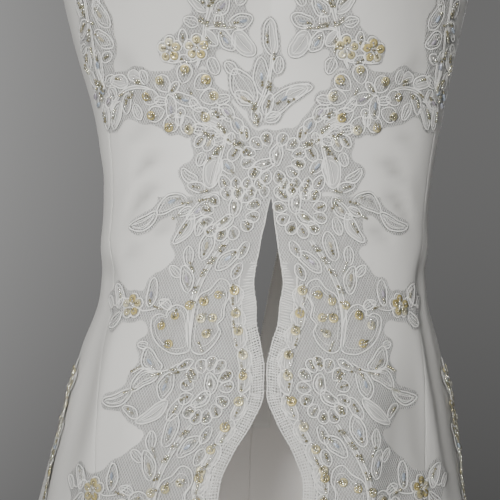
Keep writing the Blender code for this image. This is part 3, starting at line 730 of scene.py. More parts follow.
@dataclass(frozen=True)
class ThreadFinish(Finish):
    """Leaves and petals filled with thread laid side by side."""

    pitch: float = 0.95
    slant: float = 0.5

    def dress(self, w: Wiring, shader: bpy.types.Node) -> None:
        """Adds the laid threads, with painted shade in the grooves between them.

        Args:
            w: the wiring of the material's tree.
            shader: its Principled BSDF.
        """
        coords = w.node("ShaderNodeTexCoord")
        laid = w.group(
            EFFECTS.threads, Vector=coords.outputs["UV"], Pitch=self.pitch, Slant=self.slant
        )
        cloud = w.group(
            EFFECTS.mottle, Vector=coords.outputs["Object"], Scale=120.0,
            Colour=self.shaded(1.0), Shaded=self.shaded(0.88),
        )
        # Painted shade: the colour darkens in the grooves between the laid threads.
        colour = w.mix(laid.outputs["Height"], self.shaded(0.50), cloud.outputs["Colour"])
        w.feed(shader.inputs["Base Color"], colour)
        w.feed(shader.inputs["Normal"], w.bump(laid.outputs["Height"], 0.0003))


@dataclass(frozen=True)
class BeadFinish(Finish):
    """Glass, pearl or sequin in three tones, with small flaws in its polish."""

    second: Colour = (0.5, 0.5, 0.5)
    third: Colour = (0.5, 0.5, 0.5)
    flaw: float = 0.08

    def dress(self, w: Wiring, shader: bpy.types.Node) -> None:
        """Adds the tones and the flaws.

        Args:
            w: the wiring of the material's tree.
            shader: its Principled BSDF.
        """
        place = w.node("ShaderNodeTexCoord").outputs["Object"]
        tones = w.group(
            EFFECTS.tones, First=self.shaded(1.0), Second=(*self.second, 1.0),
            Third=(*self.third, 1.0),
        )
        w.feed(shader.inputs["Base Color"], tones.outputs["Colour"])
        flaw = w.noise(place, 900.0, 1.0)
        w.feed(shader.inputs["Roughness"], w.math("MULTIPLY_ADD", flaw, self.flaw, self.roughness))


@dataclass(frozen=True)
class MetalFinish(Finish):
    """Nickel of the zip, with fine scratches."""

    def dress(self, w: Wiring, shader: bpy.types.Node) -> None:
        """Adds scratches and a slow change of polish.

        Args:
            w: the wiring of the material's tree.
            shader: its Principled BSDF.
        """
        place = w.node("ShaderNodeTexCoord").outputs["Object"]
        cloud = w.group(
            EFFECTS.mottle, Vector=place, Scale=700.0,
            Colour=self.shaded(1.0), Shaded=self.shaded(0.82),
        )
        w.feed(shader.inputs["Base Color"], cloud.outputs["Colour"])
        rough = w.math("MULTIPLY_ADD", cloud.outputs["Mask"], -0.08, self.roughness)
        w.feed(shader.inputs["Roughness"], rough)
        w.feed(shader.inputs["Normal"], w.bump(w.noise(place, 4000.0, 2.0), 0.00001))


@dataclass(frozen=True)
class TapeFinish(Finish):
    """Zip tape: a tight herringbone."""

    def dress(self, w: Wiring, shader: bpy.types.Node) -> None:
        """Adds the two slanted sets of threads, with painted shade where they dip.

        Args:
            w: the wiring of the material's tree.
            shader: its Principled BSDF.
        """
        coords = w.node("ShaderNodeTexCoord")
        sets = [
            w.group(EFFECTS.threads, Vector=coords.outputs["UV"], Pitch=0.9, Slant=slant)
            for slant in (1.0, -1.0)
        ]
        height = w.math("MULTIPLY", *(each.outputs["Height"] for each in sets))
        # Painted shade: the tape's colour darkens where the herringbone dips.
        w.feed(shader.inputs["Base Color"], w.mix(height, self.shaded(0.82), self.shaded(1.0)))
        w.feed(shader.inputs["Normal"], w.bump(height, 0.00015))


SATIN_FACE = SatinFinish("satin_face", (0.745, 0.733, 0.70), 0.42, specular=0.45, sheen=0.10)
SATIN_BACK = SatinFinish("satin_back", (0.70, 0.675, 0.645), 0.62, specular=0.25, sheen=0.05)
NET = NetFinish("lace_net", (0.98, 0.97, 0.95), 0.70, specular=0.35)
CORD = CordFinish("lace_cord", (0.90, 0.89, 0.855), 0.45, specular=0.35, sheen=0.1)
THREAD = ThreadFinish("lace_thread", (0.90, 0.89, 0.865), 0.55, specular=0.35, sheen=0.1)
SEED = BeadFinish(
    "seed_bead", (0.50, 0.46, 0.31), 0.10, metallic=0.90, specular=0.9, coat=0.8,
    second=(0.86, 0.84, 0.72), third=(0.98, 0.97, 0.93),
)
PEARL = BeadFinish(
    "rice_pearl", (0.76, 0.74, 0.62), 0.10, metallic=0.85, specular=0.9, coat=0.8,
    second=(0.84, 0.83, 0.77), third=(0.70, 0.67, 0.50),
)
CRYSTAL = BeadFinish(
    "clear_crystal", (0.86, 0.80, 0.90), 0.04, metallic=0.75, specular=1.0, coat=1.0,
    second=(0.74, 0.84, 0.98), third=(0.95, 0.88, 0.66), flaw=0.03,
)
SEQUIN = BeadFinish(
    "cup_sequin", (0.66, 0.55, 0.24), 0.24, metallic=0.30, specular=0.7, coat=0.5,
    second=(0.74, 0.66, 0.38), third=(0.86, 0.81, 0.60),
)
TAPE_CLOTH = TapeFinish("zip_tape_cloth", (0.78, 0.77, 0.74), 0.80, specular=0.2)
TEETH = Finish("zip_teeth", (0.80, 0.79, 0.76), 0.38, specular=0.5)
NICKEL = MetalFinish("nickel", (0.70, 0.68, 0.63), 0.30, metallic=1.0)
# The stitches take the cord finish, with its painted shade on the underside.
STITCH = CordFinish("sewing_thread", (0.84, 0.83, 0.80), 0.5, pitch=0.5)
FLOOR = Finish("studio_floor", (0.62, 0.62, 0.62), 0.75, specular=0.2)

# ---------------------------------------------------------------- making meshes


@dataclass
class MeshParts:
    """Points, faces, texture places and tones gathered for one mesh."""

    points: list[np.ndarray] = field(default_factory=list)
    faces: list[tuple[np.ndarray, np.ndarray, int]] = field(default_factory=list)
    tones: list[np.ndarray] = field(default_factory=list)
    count: int = 0

    def add(
        self,
        points: np.ndarray,
        faces: np.ndarray,
        places: np.ndarray | None = None,
        finish: int = 0,
        tone: np.ndarray | float = 0.0,
    ) -> None:
        """Adds faces of one size.

        Args:
            points: (n, 3) points.
            faces: (m, k) indices into those points.
            places: (m, k, 2) texture places, or none.
            finish: number of the finish among the piece's own.
            tone: tone of each point, 0 to 1; on the satin it is painted crease shade.
        """
        if places is None:
            places = np.zeros((*faces.shape, 2))
        self.points.append(points)
        self.faces.append((faces + self.count, places, finish))
        self.tones.append(np.broadcast_to(np.asarray(tone, float), (len(points),)))
        self.count += len(points)

    def piece(self, name: str, finishes: Sequence[Finish]) -> bpy.types.Object:
        """The gathered mesh as an object, shaded smooth.

        Args:
            name: the piece's name.
            finishes: its finishes, in the order that add() numbers them.

        Returns:
            The object, linked to the scene.
        """
        mesh = bpy.data.meshes.new(name)
        points = np.concatenate(self.points)
        loops = np.concatenate([faces.ravel() for faces, _, _ in self.faces])
        sizes = np.concatenate([np.full(len(f), f.shape[1]) for f, _, _ in self.faces])
        slots = np.concatenate([np.full(len(f), slot) for f, _, slot in self.faces])
        places = np.concatenate([p.reshape(-1, 2) for _, p, _ in self.faces])
        mesh.vertices.add(len(points))
        mesh.vertices.foreach_set("co", points.astype(np.float32).ravel())
        mesh.loops.add(len(loops))
        mesh.loops.foreach_set("vertex_index", loops.astype(np.int32))
        mesh.polygons.add(len(sizes))
        starts = np.concatenate([[0], np.cumsum(sizes)[:-1]])
        mesh.polygons.foreach_set("loop_start", starts.astype(np.int32))
        mesh.polygons.foreach_set("material_index", slots.astype(np.int32))
        mesh.update(calc_edges=True)
        layer = mesh.uv_layers.new(name="cloth")
        layer.data.foreach_set("uv", places.astype(np.float32).ravel())
        tone = mesh.attributes.new("tone", "FLOAT", "POINT")
        tone.data.foreach_set("value", np.concatenate(self.tones).astype(np.float32))
        mesh.shade_smooth()
        for finish in finishes:
            mesh.materials.append(finish.build())
        made = bpy.data.objects.new(name, mesh)
        bpy.context.scene.collection.objects.link(made)
        return made


def grid_faces(rows: int, columns: int, flip: bool = False) -> np.ndarray:
    """The quads of a grid of points, as indices."""
    low = np.arange(rows - 1)[:, None] * columns + np.arange(columns - 1)[None, :]
    quads = np.stack([low, low + 1, low + columns + 1, low + columns], axis=-1).reshape(-1, 4)
    return quads[:, ::-1] if flip else quads


@dataclass
class Grid:
    """A grid of a shell's points: outer, inner, which are there, and how much painted shade each gets."""

    outer: np.ndarray
    inner: np.ndarray
    there: np.ndarray
    flip: bool
    shade: np.ndarray | float = 0.0


def shell(grids: Sequence[Grid], parts: MeshParts) -> None:
    """Adds a closed shell: an outside, an inside and the rim between them.

    Args:
        grids: its grids, with points of (rows, columns, 3).
        parts: the mesh that the shell is added to. Its first finish is the outside's, and
            its second the inside's.
    """
    quads, start = [], 0
    for grid in grids:
        faces = grid_faces(*grid.there.shape, grid.flip)
        quads.append(faces[grid.there.ravel()[faces].all(axis=1)] + start)
        start += grid.there.size
    quads = np.concatenate(quads)
    outer = np.concatenate([grid.outer.reshape(-1, 3) for grid in grids])
    inner = np.concatenate([grid.inner.reshape(-1, 3) for grid in grids])
    shade = np.concatenate([np.broadcast_to(grid.shade, grid.there.shape).ravel() for grid in grids])
    keys, first, same = np.unique(
        np.round(outer, 6), axis=0, return_index=True, return_inverse=True
    )
    quads = same.ravel()[quads]
    used = np.unique(quads)
    number = np.full(len(keys), -1)
    number[used] = np.arange(len(used))
    quads, first = number[quads], first[used]
    count = len(first)
    sides = np.concatenate([quads[:, [k, (k + 1) % 4]] for k in range(4)])
    codes = sides[:, 0] * count + sides[:, 1]
    free = sides[~np.isin(sides[:, 1] * count + sides[:, 0], codes)]
    rim = np.stack([free[:, 1], free[:, 0], free[:, 0] + count, free[:, 1] + count], axis=1)
    points = np.concatenate([outer[first], inner[first]])
    places = points[:, [0, 2]] * 1000 + points[:, [1, 1]] * (1000, 0)
    # The tone attribute carries each point's painted crease shade.
    parts.add(points, quads, places[quads], 0, np.tile(shade[first], 2))
    start = parts.count - len(points)
    for faces, finish in ((quads[:, ::-1] + count, 1), (rim, 0)):
        parts.faces.append((faces + start, places[faces], finish))


# ---------------------------------------------------------------- satin


def seam_angle(height: np.ndarray, side: int, front: bool) -> np.ndarray:
    """A seam's angle: the side-front seam, or the side-back seam."""
    column = (2 if side > 0 else 1) if front else 3
    return np.radians(looked_up(SEAMS, height, column))


def front_edge(height: np.ndarray) -> np.ndarray:
    """Angle of the slit's edge, and of the centre line above the slit."""
    return FORM.angle_of(slit_gap(height), height)


def front_outer(height: np.ndarray, side: int) -> np.ndarray:
    """Angle of the front's outer edge: the side-front seam, then the armhole."""
    seam = seam_angle(height, side, True)
    arm = FORM.angle_of(looked_up(EDGES, height, 2), height)
    return np.where(height > UNDERARM, np.minimum(seam, arm), seam)


def front_neck(height: np.ndarray, side: int) -> np.ndarray:
    """Angle of the line that becomes the front strap's inner edge."""
    line = FORM.angle_of(looked_up(EDGES, height, 1), height)
    edge, outer = front_edge(height), front_outer(height, side)
    least, most = (edge + share * (outer - edge) for share in FRONT_NECK_SHARE)
    return np.where(height > STRAP_BASE, line, np.minimum(np.maximum(line, least), most))


def back_edge(height: np.ndarray) -> np.ndarray:
    """Angle of a back's centre edge: the zip's reveal, or the closed seam below it."""
    reveal = ZIP_REVEAL * smooth((height - ZIP_FOOT) / (ZIP_CLOSED - ZIP_FOOT))
    return math.pi - FORM.angle_of(looked_up(BACK_OPENING, height, 1) + reveal, height)


def back_outer(height: np.ndarray, side: int) -> np.ndarray:
    """Angle of a back's outer edge: the side-back seam, then the armhole."""
    seam = seam_angle(height, side, False)
    arm = math.pi - FORM.angle_of(looked_up(EDGES, height, 4), height)
    return np.where(height > UNDERARM, np.maximum(seam, arm), seam)


def back_neck(height: np.ndarray, side: int) -> np.ndarray:
    """Angle of the line that becomes the back strap's inner edge."""
    line = math.pi - FORM.angle_of(looked_up(EDGES, height, 3), height)
    edge, outer = back_edge(height), back_outer(height, side)
    least, most = (edge + share * (outer - edge) for share in BACK_NECK_SHARE)
    return np.where(height > STRAP_BASE, line, np.maximum(np.minimum(line, least), most))


@dataclass
class Cloth:
    """How finely a satin panel is made, and how its edges are turned."""

    row_step: float = 0.0062
    fine_from: float = -0.70
    edge_steps: tuple[float, ...] = (0.0, 0.0009, 0.0024, 0.0050)
    seam_dip: float = 0.00035
    seam_width: float = 0.0014

    def rows(self, heights: Sequence[float]) -> np.ndarray:
        """Heights of fine rows, closer at both ends."""
        rows = [heights[0]]
        for low, high in zip(heights, heights[1:]):
            step = self.row_step if high > self.fine_from else 2.5 * self.row_step
            count = max(round((high - low) / step), 1)
            rows += list(np.linspace(low, high, count + 1)[1:])
        ends = [heights[0] + step for step in self.edge_steps]
        return np.unique(np.round([*rows, *ends], 6))

    def shares(self, width: np.ndarray, count: int, near: bool, far: bool) -> np.ndarray:
        """Shares of the way across, closer together at the ends that are edges.

        Args:
            width: the stretch's width in each row.
            count: cells between the close ones.
            near: whether the first end is an edge.
            far: whether the last end is an edge.

        Returns:
            A (rows, columns) array.
        """
        steps = np.array(self.edge_steps)[None, :] / width[:, None]
        first = steps if near else np.zeros((len(width), 1))
        last = 1 - steps[:, ::-1] if far else np.ones((len(width), 1))
        middle = np.linspace(0, 1, count + 1)[None, 1:-1]
        inner = first[:, -1:] + (last[:, :1] - first[:, -1:]) * middle
        return np.concatenate([first, inner, last], axis=1)

    def dip(self, away: np.ndarray) -> np.ndarray:
        """How far the cloth turns in beside a seam or an edge."""
        return self.seam_dip * np.exp(-((away / self.seam_width) ** 2))


@dataclass
class SatinPanel:
    """One full-length panel of the dress, as a thin closed shell."""

    name: str
    node: str
    flat: tuple[float, float]
    area: float
    cloth: Cloth = field(default_factory=Cloth)

    def walled(
        self, angle: np.ndarray, height: np.ndarray, away: np.ndarray
    ) -> tuple[np.ndarray, np.ndarray]:
        """Outer and inner points of the panel, turned in beside its edges.

        Args:
            angle: angle of each point.
            height: height of each point.
            away: its distance from the nearest seam or edge.

        Returns:
            The outer and the inner points.
        """
        point, way = FORM.lay(angle, height, 0.0)
        dip = self.cloth.dip(away)[..., None]
        return point - way * dip, point - way * (SATIN + 0.3 * dip)

    def grids(self) -> list[Grid]:
        """The grids that the panel is made of."""
        raise NotImplementedError

    def build(self) -> bpy.types.Object:
        """Builds the panel, and puts it in its node's place."""
        parts = MeshParts()
        shell(self.grids(), parts)
        made = parts.piece(self.name, (SATIN_FACE, SATIN_BACK))
        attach(made, "dress")
        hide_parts(self.node)
        return made


@dataclass
class HalfPanel(SatinPanel):
    """A front, or one back: from its centre edge out to its seam, and up to the shoulder."""

    sides: tuple[int, ...] = (1,)
    edge: Callable = front_edge
    neck: Callable = front_neck
    outer: Callable = front_outer
    neck_low: float = NECK_LOW
    cells: tuple[int, int] = (20, 14)

    def grids(self) -> list[Grid]:
        """One grid for each side that the panel has."""
        return [self.half(side) for side in self.sides]

    def half(self, side: int) -> Grid:
        """The grid on one side.

        Args:
            side: 1 to +X, -1 to -X.

        Returns:
            The grid.
        """
        body, strap = [*SKIRT_ROWS, *BODICE_ROWS], STRAP_ROWS
        rows = self.cloth.rows([*body, *strap])
        rows = np.unique(np.round([*rows, *(STRAP_BASE - step for step in self.cloth.edge_steps)], 6))
        low, mid, high = self.edge(rows), self.neck(rows, side), self.outer(rows, side)
        radius = FORM.half_width(rows)
        inner = self.cloth.shares(np.abs(mid - low) * radius, self.cells[0], True, False)
        turn = np.arcsin(np.clip(inner, 0, 1))
        start = SKIRT_ROWS[-3]
        fall = smooth((rows - start) / (STRAP_BASE - start))[:, None]
        inner_at = rows[:, None] - (STRAP_BASE - self.neck_low) * np.cos(turn) * fall
        inner_angle = self.edge(inner_at) + (self.neck(inner_at, side) - self.edge(inner_at)) * inner
        outer = self.cloth.shares(np.abs(high - mid) * radius, self.cells[1], True, True)[:, 1:]
        outer_angle = mid[:, None] + (high - mid)[:, None] * outer
        outer_at = np.broadcast_to(rows[:, None], outer.shape)
        angle = np.concatenate([inner_angle, outer_angle], axis=1)
        at = np.concatenate([inner_at, outer_at], axis=1)
        there = np.ones(angle.shape, bool)
        there[rows > STRAP_BASE + 1e-6, : inner.shape[1] - 1] = False
        away = self.away(angle, at, rows, inner.shape[1] - 1, side)
        out, into = self.walled(side * angle, at, away)
        flip = (side < 0) == (self.edge is front_edge)
        return Grid(out, into, there, flip, FORM.shade(side * angle, at))

    def away(
        self, angle: np.ndarray, at: np.ndarray, rows: np.ndarray, neck_column: int, side: int
    ) -> np.ndarray:
        """Distance of each point from the nearest edge.

        Args:
            angle: angle of each point.
            at: height of each point.
            rows: height that each row starts from.
            neck_column: the column of the strap's inner edge.
            side: 1 to +X, -1 to -X.

        Returns:
            The distances.
        """
        radius = FORM.half_width(at)
        outer = np.abs(self.outer(at, side) - angle) * radius
        centre = np.abs(self.edge(at) - angle) * radius
        whole = (at > SLIT_TOP) & (self.edge is front_edge)
        centre = np.where(whole, 1.0, centre)
        strap = np.where(rows[:, None] > STRAP_BASE, np.abs(angle - angle[:, [neck_column]]) * radius, 1.0)
        neck = np.where(np.arange(angle.shape[1])[None, :] <= neck_column, STRAP_BASE - rows[:, None], 1.0)
        neck = np.where(rows[:, None] > STRAP_BASE + 1e-6, 1.0, neck)
        hem = at - HEM
        return np.minimum.reduce([outer, centre, strap, neck, hem])


@dataclass
class SidePanel(SatinPanel):
    """A side panel, from the side-front seam to the side-back seam, up to the underarm."""

    side: int = 1
    cells: int = 34

    def grids(self) -> list[Grid]:
        """The panel's one grid."""
        rows = self.cloth.rows([*SKIRT_ROWS, UNDERARM])
        rows = np.unique(np.round([*rows, *(UNDERARM - step for step in self.cloth.edge_steps)], 6))
        low, high = seam_angle(rows, self.side, True), seam_angle(rows, self.side, False)
        share = self.cloth.shares((high - low) * FORM.half_width(rows), self.cells, True, True)
        scoop = ARMHOLE_DIP * (1 - (2 * share - 1) ** 2)
        sunk = smooth((rows - SKIRT_ROWS[-2]) / (UNDERARM - SKIRT_ROWS[-2]))[:, None]
        at = rows[:, None] - scoop * sunk
        low, high = seam_angle(at, self.side, True), seam_angle(at, self.side, False)
        angle = low + (high - low) * share
        radius = FORM.half_width(at)
        away = np.minimum.reduce([
            (angle - low) * radius,
            (high - angle) * radius,
            at - HEM,
            np.broadcast_to((UNDERARM - rows)[:, None], at.shape),
        ])
        out, into = self.walled(self.side * angle, at, away)
        shade = FORM.shade(self.side * angle, at)
        return [Grid(out, into, np.ones(at.shape, bool), self.side < 0, shade)]


class Satin:
    """The five satin panels."""

    def build(self) -> list[bpy.types.Object]:
        """Builds the panels.

        Returns:
            The panels' objects.
        """
        panels: list[SatinPanel] = [
            HalfPanel("satin_front", "front", (0.36, 1.54), 0.328, sides=(1, -1)),
        ]
        for side, word in ((1, "right"), (-1, "left")):
            panels.append(SidePanel(f"satin_side_{word}", f"side_{word}", (0.51, 1.30), 0.362, side=side))
            panels.append(
                HalfPanel(
                    f"satin_back_{word}", f"back_{word}", (0.42, 1.56), 0.318, sides=(side,),
                    edge=back_edge, neck=back_neck, outer=back_outer, neck_low=BACK_NECK,
                    cells=(24, 14),
                )
            )
        return [panel.build() for panel in panels]


# ---------------------------------------------------------------- lace, drawn flat


class Wrap:
    """Turns distances along the cloth from the centre front into angles."""

    ROW, CELL, WIDEST = 0.005, 2.0, 480.0

    def __init__(self) -> None:
        """Tabulates the angle at each distance in each row of heights."""
        self._low = HEM - 0.02
        heights = np.arange(self._low, 0.0, self.ROW)
        angles = np.radians(np.linspace(0.0, 178.0, 357))
        steps = np.arange(0.0, self.WIDEST, self.CELL)
        rows = []
        for height in heights:
            level = FORM.level(np.full(len(angles), height))
            power = 2 / FORM.section(Column.ROUND, level)
            cosine = np.cos(angles)
            front, back = (FORM.section(c, level) for c in (Column.FRONT, Column.BACK))
            depth = np.where(cosine > 0, front, back)
            x = FORM.section(Column.HALF_WIDTH, level) * np.sin(angles) ** power
            y = depth * np.sign(cosine) * np.abs(cosine) ** power
            run = np.concatenate([[0], np.cumsum(np.hypot(np.diff(x), np.diff(y)))]) * 1000
            rows.append(np.interp(steps, run, angles))
        self._table = np.array(rows)

    def angle(self, run: np.ndarray, height: np.ndarray) -> np.ndarray:
        """Angles at distances along the cloth.

        Args:
            run: distances in millimetres.
            height: heights in metres.

        Returns:
            The angles in radians.
        """
        row = np.clip((height - self._low) / self.ROW, 0, len(self._table) - 1.001)
        cell = np.clip(run / self.CELL, 0, self._table.shape[1] - 1.001)
        r, c = row.astype(int), cell.astype(int)
        down, over = row - r, cell - c
        low = self._table[r, c] * (1 - over) + self._table[r, c + 1] * over
        high = self._table[r + 1, c] * (1 - over) + self._table[r + 1, c + 1] * over
        return low * (1 - down) + high * down


WRAP = Wrap()


class Leaf(Enum):
    """What a leaf or petal is filled with."""

    THREAD = "thread"
    HALF = "half"
    SEEDS = "seeds"
    CRYSTAL = "crystal"
    NET = "net"


@dataclass
class Cord:
    """One cord: its path, its radius, its height over the net, and whether it has a foot."""

    path: np.ndarray
    radius: float
    lift: float
    foot: float = 1.0


@dataclass
class Patch:
    """A filled area: a grid of places with the height and the thread direction of each."""

    grid: np.ndarray
    lift: np.ndarray
    thread: np.ndarray


def spline(points: Sequence[Sequence[float]], closed: bool = False, step: float = 2.0) -> np.ndarray:
    """A smooth line through points, in even steps.

    Args:
        points: places in millimetres.
        closed: whether it ends where it starts.
        step: the length of a step.

    Returns:
        The line's places.
    """
    given = np.array(points, float)
    if closed:
        given = np.concatenate([given[-1:], given, given[:2]])
    else:
        ends = 2 * given[0] - given[1], 2 * given[-1] - given[-2]
        given = np.concatenate([ends[:1], given, ends[1:]])
    share = np.linspace(0, 1, 9)[:-1, None]
    line = []
    for a, b, c, d in zip(given, given[1:], given[2:], given[3:]):
        line.append(
            0.5 * (2 * b + (c - a) * share + (2 * a - 5 * b + 4 * c - d) * share**2
                   + (3 * b - a - 3 * c + d) * share**3)
        )
    line = np.concatenate([*line, given[-2:-1]])
    run = np.concatenate([[0], np.cumsum(np.linalg.norm(np.diff(line, axis=0), axis=1))])
    count = max(int(round(run[-1] / step)), 10 if closed else 2)
    even = np.linspace(0, run[-1], count + 1)
    return np.stack([np.interp(even, run, line[:, k]) for k in (0, 1)], axis=1)


def turned(vector: np.ndarray, degrees: float) -> np.ndarray:
    """Places turned about the origin."""
    sine, cosine = math.sin(math.radians(degrees)), math.cos(math.radians(degrees))
    return np.stack(
        [vector[..., 0] * cosine - vector[..., 1] * sine,
         vector[..., 0] * sine + vector[..., 1] * cosine], axis=-1
    )


class Drawing:
    """Lace drawn flat in millimetres: first place out from the centre, second place up."""

    CORD, FINE = 0.54, 0.34
    SPREAD = 0.35
    PITCH = 2.10
    DOUBLED = 8.5

    def __init__(self, seed: int) -> None:
        """Starts an empty drawing, whose small unevenness comes from the seed."""
        self.random = np.random.default_rng(seed)
        self.step = 2.15
        self.cords: list[Cord] = []
        self.patches: list[Patch] = []
        self.beads: dict[str, list[tuple[float, ...]]] = {
            "seed": [], "pearl": [], "crystal": [], "sequin": [], "tooth": [],
        }

    def uneven(self, spread: float) -> float:
        """A small random number."""
        return float(np.clip(self.random.normal(0.0, spread), -2 * spread, 2 * spread))

    def cord(
        self, points: Sequence[Sequence[float]], radius: float = CORD, lift: float = 0.1,
        closed: bool = False,
    ) -> None:
        """Lays a cord through points."""
        self.cords.append(Cord(spline(points, closed, self.step), radius, lift))

    def stem(self, points: Sequence[Sequence[float]], gap: float = 2.4) -> None:
        """Lays a double cord, tapering to the tip, with thread between the two."""
        line = spline(points, step=self.step)
        way = np.gradient(line, axis=0)
        way /= np.linalg.norm(way, axis=1, keepdims=True)
        aside = np.stack([-way[:, 1], way[:, 0]], axis=1)
        half = gap / 2 * (0.45 + 0.55 * np.sin(np.linspace(0.3, math.pi - 0.3, len(line))))
        for side in (-1, 1):
            self.cords.append(Cord(line + aside * half[:, None] * side, self.CORD, 0.1))
        shares = np.linspace(-1, 1, 3)
        grid = line[:, None] + aside[:, None] * (half[:, None] * shares)[..., None]
        run = np.arange(len(line))[:, None] * self.step + 0 * shares
        self.patches.append(Patch(grid, 0.05 + 0 * run, run))

    def seeds(
        self, x: float, y: float, turn: float, count: int = 4, rows: int = 1, up: float = 0.0,
        scale: float = 1.0,
    ) -> None:
        """Sews short rows of seed beads.

        Args:
            x: middle, out from the centre.
            y: middle, up.
            turn: direction of the rows in degrees.
            count: beads in a row.
            rows: number of rows.
            up: how far the beads stand over what they are sewn on.
            scale: size of the beads and of the steps between them, 1 for the usual.
        """
        pitch = self.PITCH * scale
        for row in range(rows):
            for number in range(count):
                away = (number - (count - 1) / 2 + 0.25 * (rows - 1) * (2 * row - 1)) * pitch
                aside = (row - (rows - 1) / 2) * pitch * 0.95
                local = np.array([away, aside + self.uneven(0.15)])
                place = turned(local, turn)
                tone = float(self.random.uniform(0, 1))
                size = 1.15 * scale + self.uneven(0.05)
                self.beads["seed"].append(
                    (x + place[0], y + place[1], turn, size * 0.92, size, tone, up)
                )

    def bead(
        self, kind: str, x: float, y: float, turn: float, half: tuple[float, float]
    ) -> None:
        """Sews one pearl, crystal or sequin of that half length and half width."""
        size = 1 + self.uneven(0.04)
        tone = float(self.random.uniform(0, 1))
        self.beads[kind].append(
            (x, y, turn + self.uneven(4.0), half[0] * size, half[1] * size, tone, 0.0)
        )

    def sequin(
        self, x: float, y: float, turn: float, size: float = 3.4, count: int = 3, rows: int = 2
    ) -> None:
        """Sews a sequin, and rows of seed beads over the half of it that turn points to."""
        self.bead("sequin", x, y, turn, (size, size))
        ahead = turned(np.array([0.45 * count, 0.0]), turn)
        self.seeds(x + ahead[0], y + ahead[1], turn, count, rows, up=0.75, scale=0.95)

    def leaf(
        self, x: float, y: float, turn: float, length: float, width: float,
        kind: Leaf = Leaf.THREAD, bend: float = 0.0, blunt: float = 0.52,
    ) -> None:
        """Draws a leaf or petal round its middle.

        Args:
            x: middle, out from the centre.
            y: middle, up.
            turn: direction of its tip in degrees.
            length: its length.
            width: its greatest width.
            kind: its filling.
            bend: how far its middle bows to the left of its direction.
            blunt: 1 for a pointed base and tip, less for rounder ones.
        """
        x, y = x + self.uneven(self.SPREAD), y + self.uneven(self.SPREAD)
        turn, length = turn + self.uneven(2.5), length * (1 + self.uneven(0.03))
        along = np.linspace(0, 1, 11)[:, None]
        across = np.linspace(-1, 1, 5)[None, :]
        swell = np.sin(math.pi * along ** 0.92) ** blunt
        waver = 1 + 0.07 * np.sin(along * 9.0 + self.random.uniform(0, 6))
        half = width / 2 * swell * waver
        bow = bend * np.sin(math.pi * along)

        def placed(share: np.ndarray, aside: np.ndarray) -> np.ndarray:
            """Places in the drawing, from shares along and distances aside."""
            local = np.stack([(share - 0.5) * length + 0 * aside, aside], axis=-1)
            return turned(local, turn) + np.array([x, y])

        grid = placed(along, across * half + bow)
        edge = np.concatenate([grid[:, 0], grid[::-1, -1][1:-1]])
        self.cord(edge, closed=True)
        if width > self.DOUBLED:
            inner = np.maximum(half - 1.75, 0.05)
            trim = placed(0.5 + (along - 0.5) * (1 - 4.4 / length), across * inner + bow)
            self.cord(np.concatenate([trim[:, 0], trim[::-1, -1][1:-1]]), self.FINE, 0.05, True)
        vein = 0.22 * np.exp(-((across / 0.22) ** 2))
        rise = 0.05 + 0.30 * (1 - across**2) * np.sin(math.pi * along) ** 0.5 - vein
        thread = along * length - 0.7 * np.abs(across) * half
        if kind is Leaf.THREAD:
            self.patches.append(Patch(grid, rise, thread))
            self.cords.append(Cord(placed(along[1:-1], bow[1:-1])[:, 0], self.FINE, 0.35))
        elif kind is Leaf.HALF:
            self.patches.append(Patch(grid[:, :3], rise[:, :3], thread[:, :3]))
            self.cords.append(Cord(placed(along[1:-1], bow[1:-1])[:, 0], self.FINE, 0.35))
            self._row(placed, length, bend, width * 0.22)
        elif kind is Leaf.SEEDS:
            self._row(placed, length, bend, 0.0)
        elif kind is Leaf.CRYSTAL:
            away = self.uneven(1.0)
            here = placed(np.array(0.5 + away / length), np.array(bend))
            self.bead("crystal", float(here[0]), float(here[1]), turn, (2.9, 1.25))
            foot = placed(np.array(0.5 + (away - 5.0) / length), np.array(bend))
            self.seeds(float(foot[0]), float(foot[1]), turn, 2)
        else:
            for share in (-0.36, 0.36):
                self.cords.append(
                    Cord(placed(along[1:-1], (half * share + bow)[1:-1])[:, 0], self.FINE, 0.05)
                )

    def _row(self, placed: Callable, length: float, bend: float, aside: float) -> None:
        """Sews three or four seed beads along a leaf."""
        count = 3 if length < 18 else 4

        def spot(share: float) -> np.ndarray:
            """The place at a share of the leaf's length."""
            return placed(np.array(share), np.array((bend + aside) * math.sin(math.pi * share)))

        for number in range(count):
            share = 0.5 + (number - (count - 1) / 2) * self.PITCH / length
            ahead = spot(share + 0.05) - spot(share)
            turn = math.degrees(math.atan2(ahead[1], ahead[0]))
            self.seeds(*map(float, spot(share)), turn, 1)

    def petals(
        self, x: float, y: float, semi: tuple[float, float], count: int,
        size: tuple[float, float], start: float = 0.0, sequin: bool = False, bare: bool = False,
    ) -> None:
        """Draws a ring of petals, each filled with a row of seed beads.

        Args:
            x: the ring's middle, out from the centre.
            y: the ring's middle, up.
            semi: half width and half height of the ring through the petals' middles.
            count: number of petals.
            size: length and width of a petal.
            start: direction of the first petal.
            sequin: whether each petal has a sequin at its outer end.
            bare: whether it has no beads.
        """
        for number in range(count):
            turn = start + 360 * number / count + self.uneven(2.0)
            sine, cosine = math.sin(math.radians(turn)), math.cos(math.radians(turn))
            px, py = x + semi[0] * cosine, y + semi[1] * sine
            out = math.degrees(math.atan2(semi[1] * sine, semi[0] * cosine))
            along = np.linspace(0, 1, 9)
            half = size[1] / 2 * np.sin(math.pi * along**1.3) ** 0.5
            local = np.concatenate([
                np.stack([(along - 0.5) * size[0], -half], axis=1),
                np.stack([(along - 0.5) * size[0], half], axis=1)[::-1][1:-1],
            ])
            self.cord(turned(local, out) + np.array([px, py]), closed=True)
            way = np.array([math.cos(math.radians(out)), math.sin(math.radians(out))])
            if bare:
                continue
            if sequin:
                end = np.array([px, py]) + way * (size[0] / 2 - 3.2)
                self.sequin(*map(float, end), out + 180 + self.uneven(25.0))
            else:
                lean = out + self.uneven(14.0)
                self.seeds(px + way[0] * 0.8, py + way[1] * 0.8, lean, 3, 1 + number % 2)

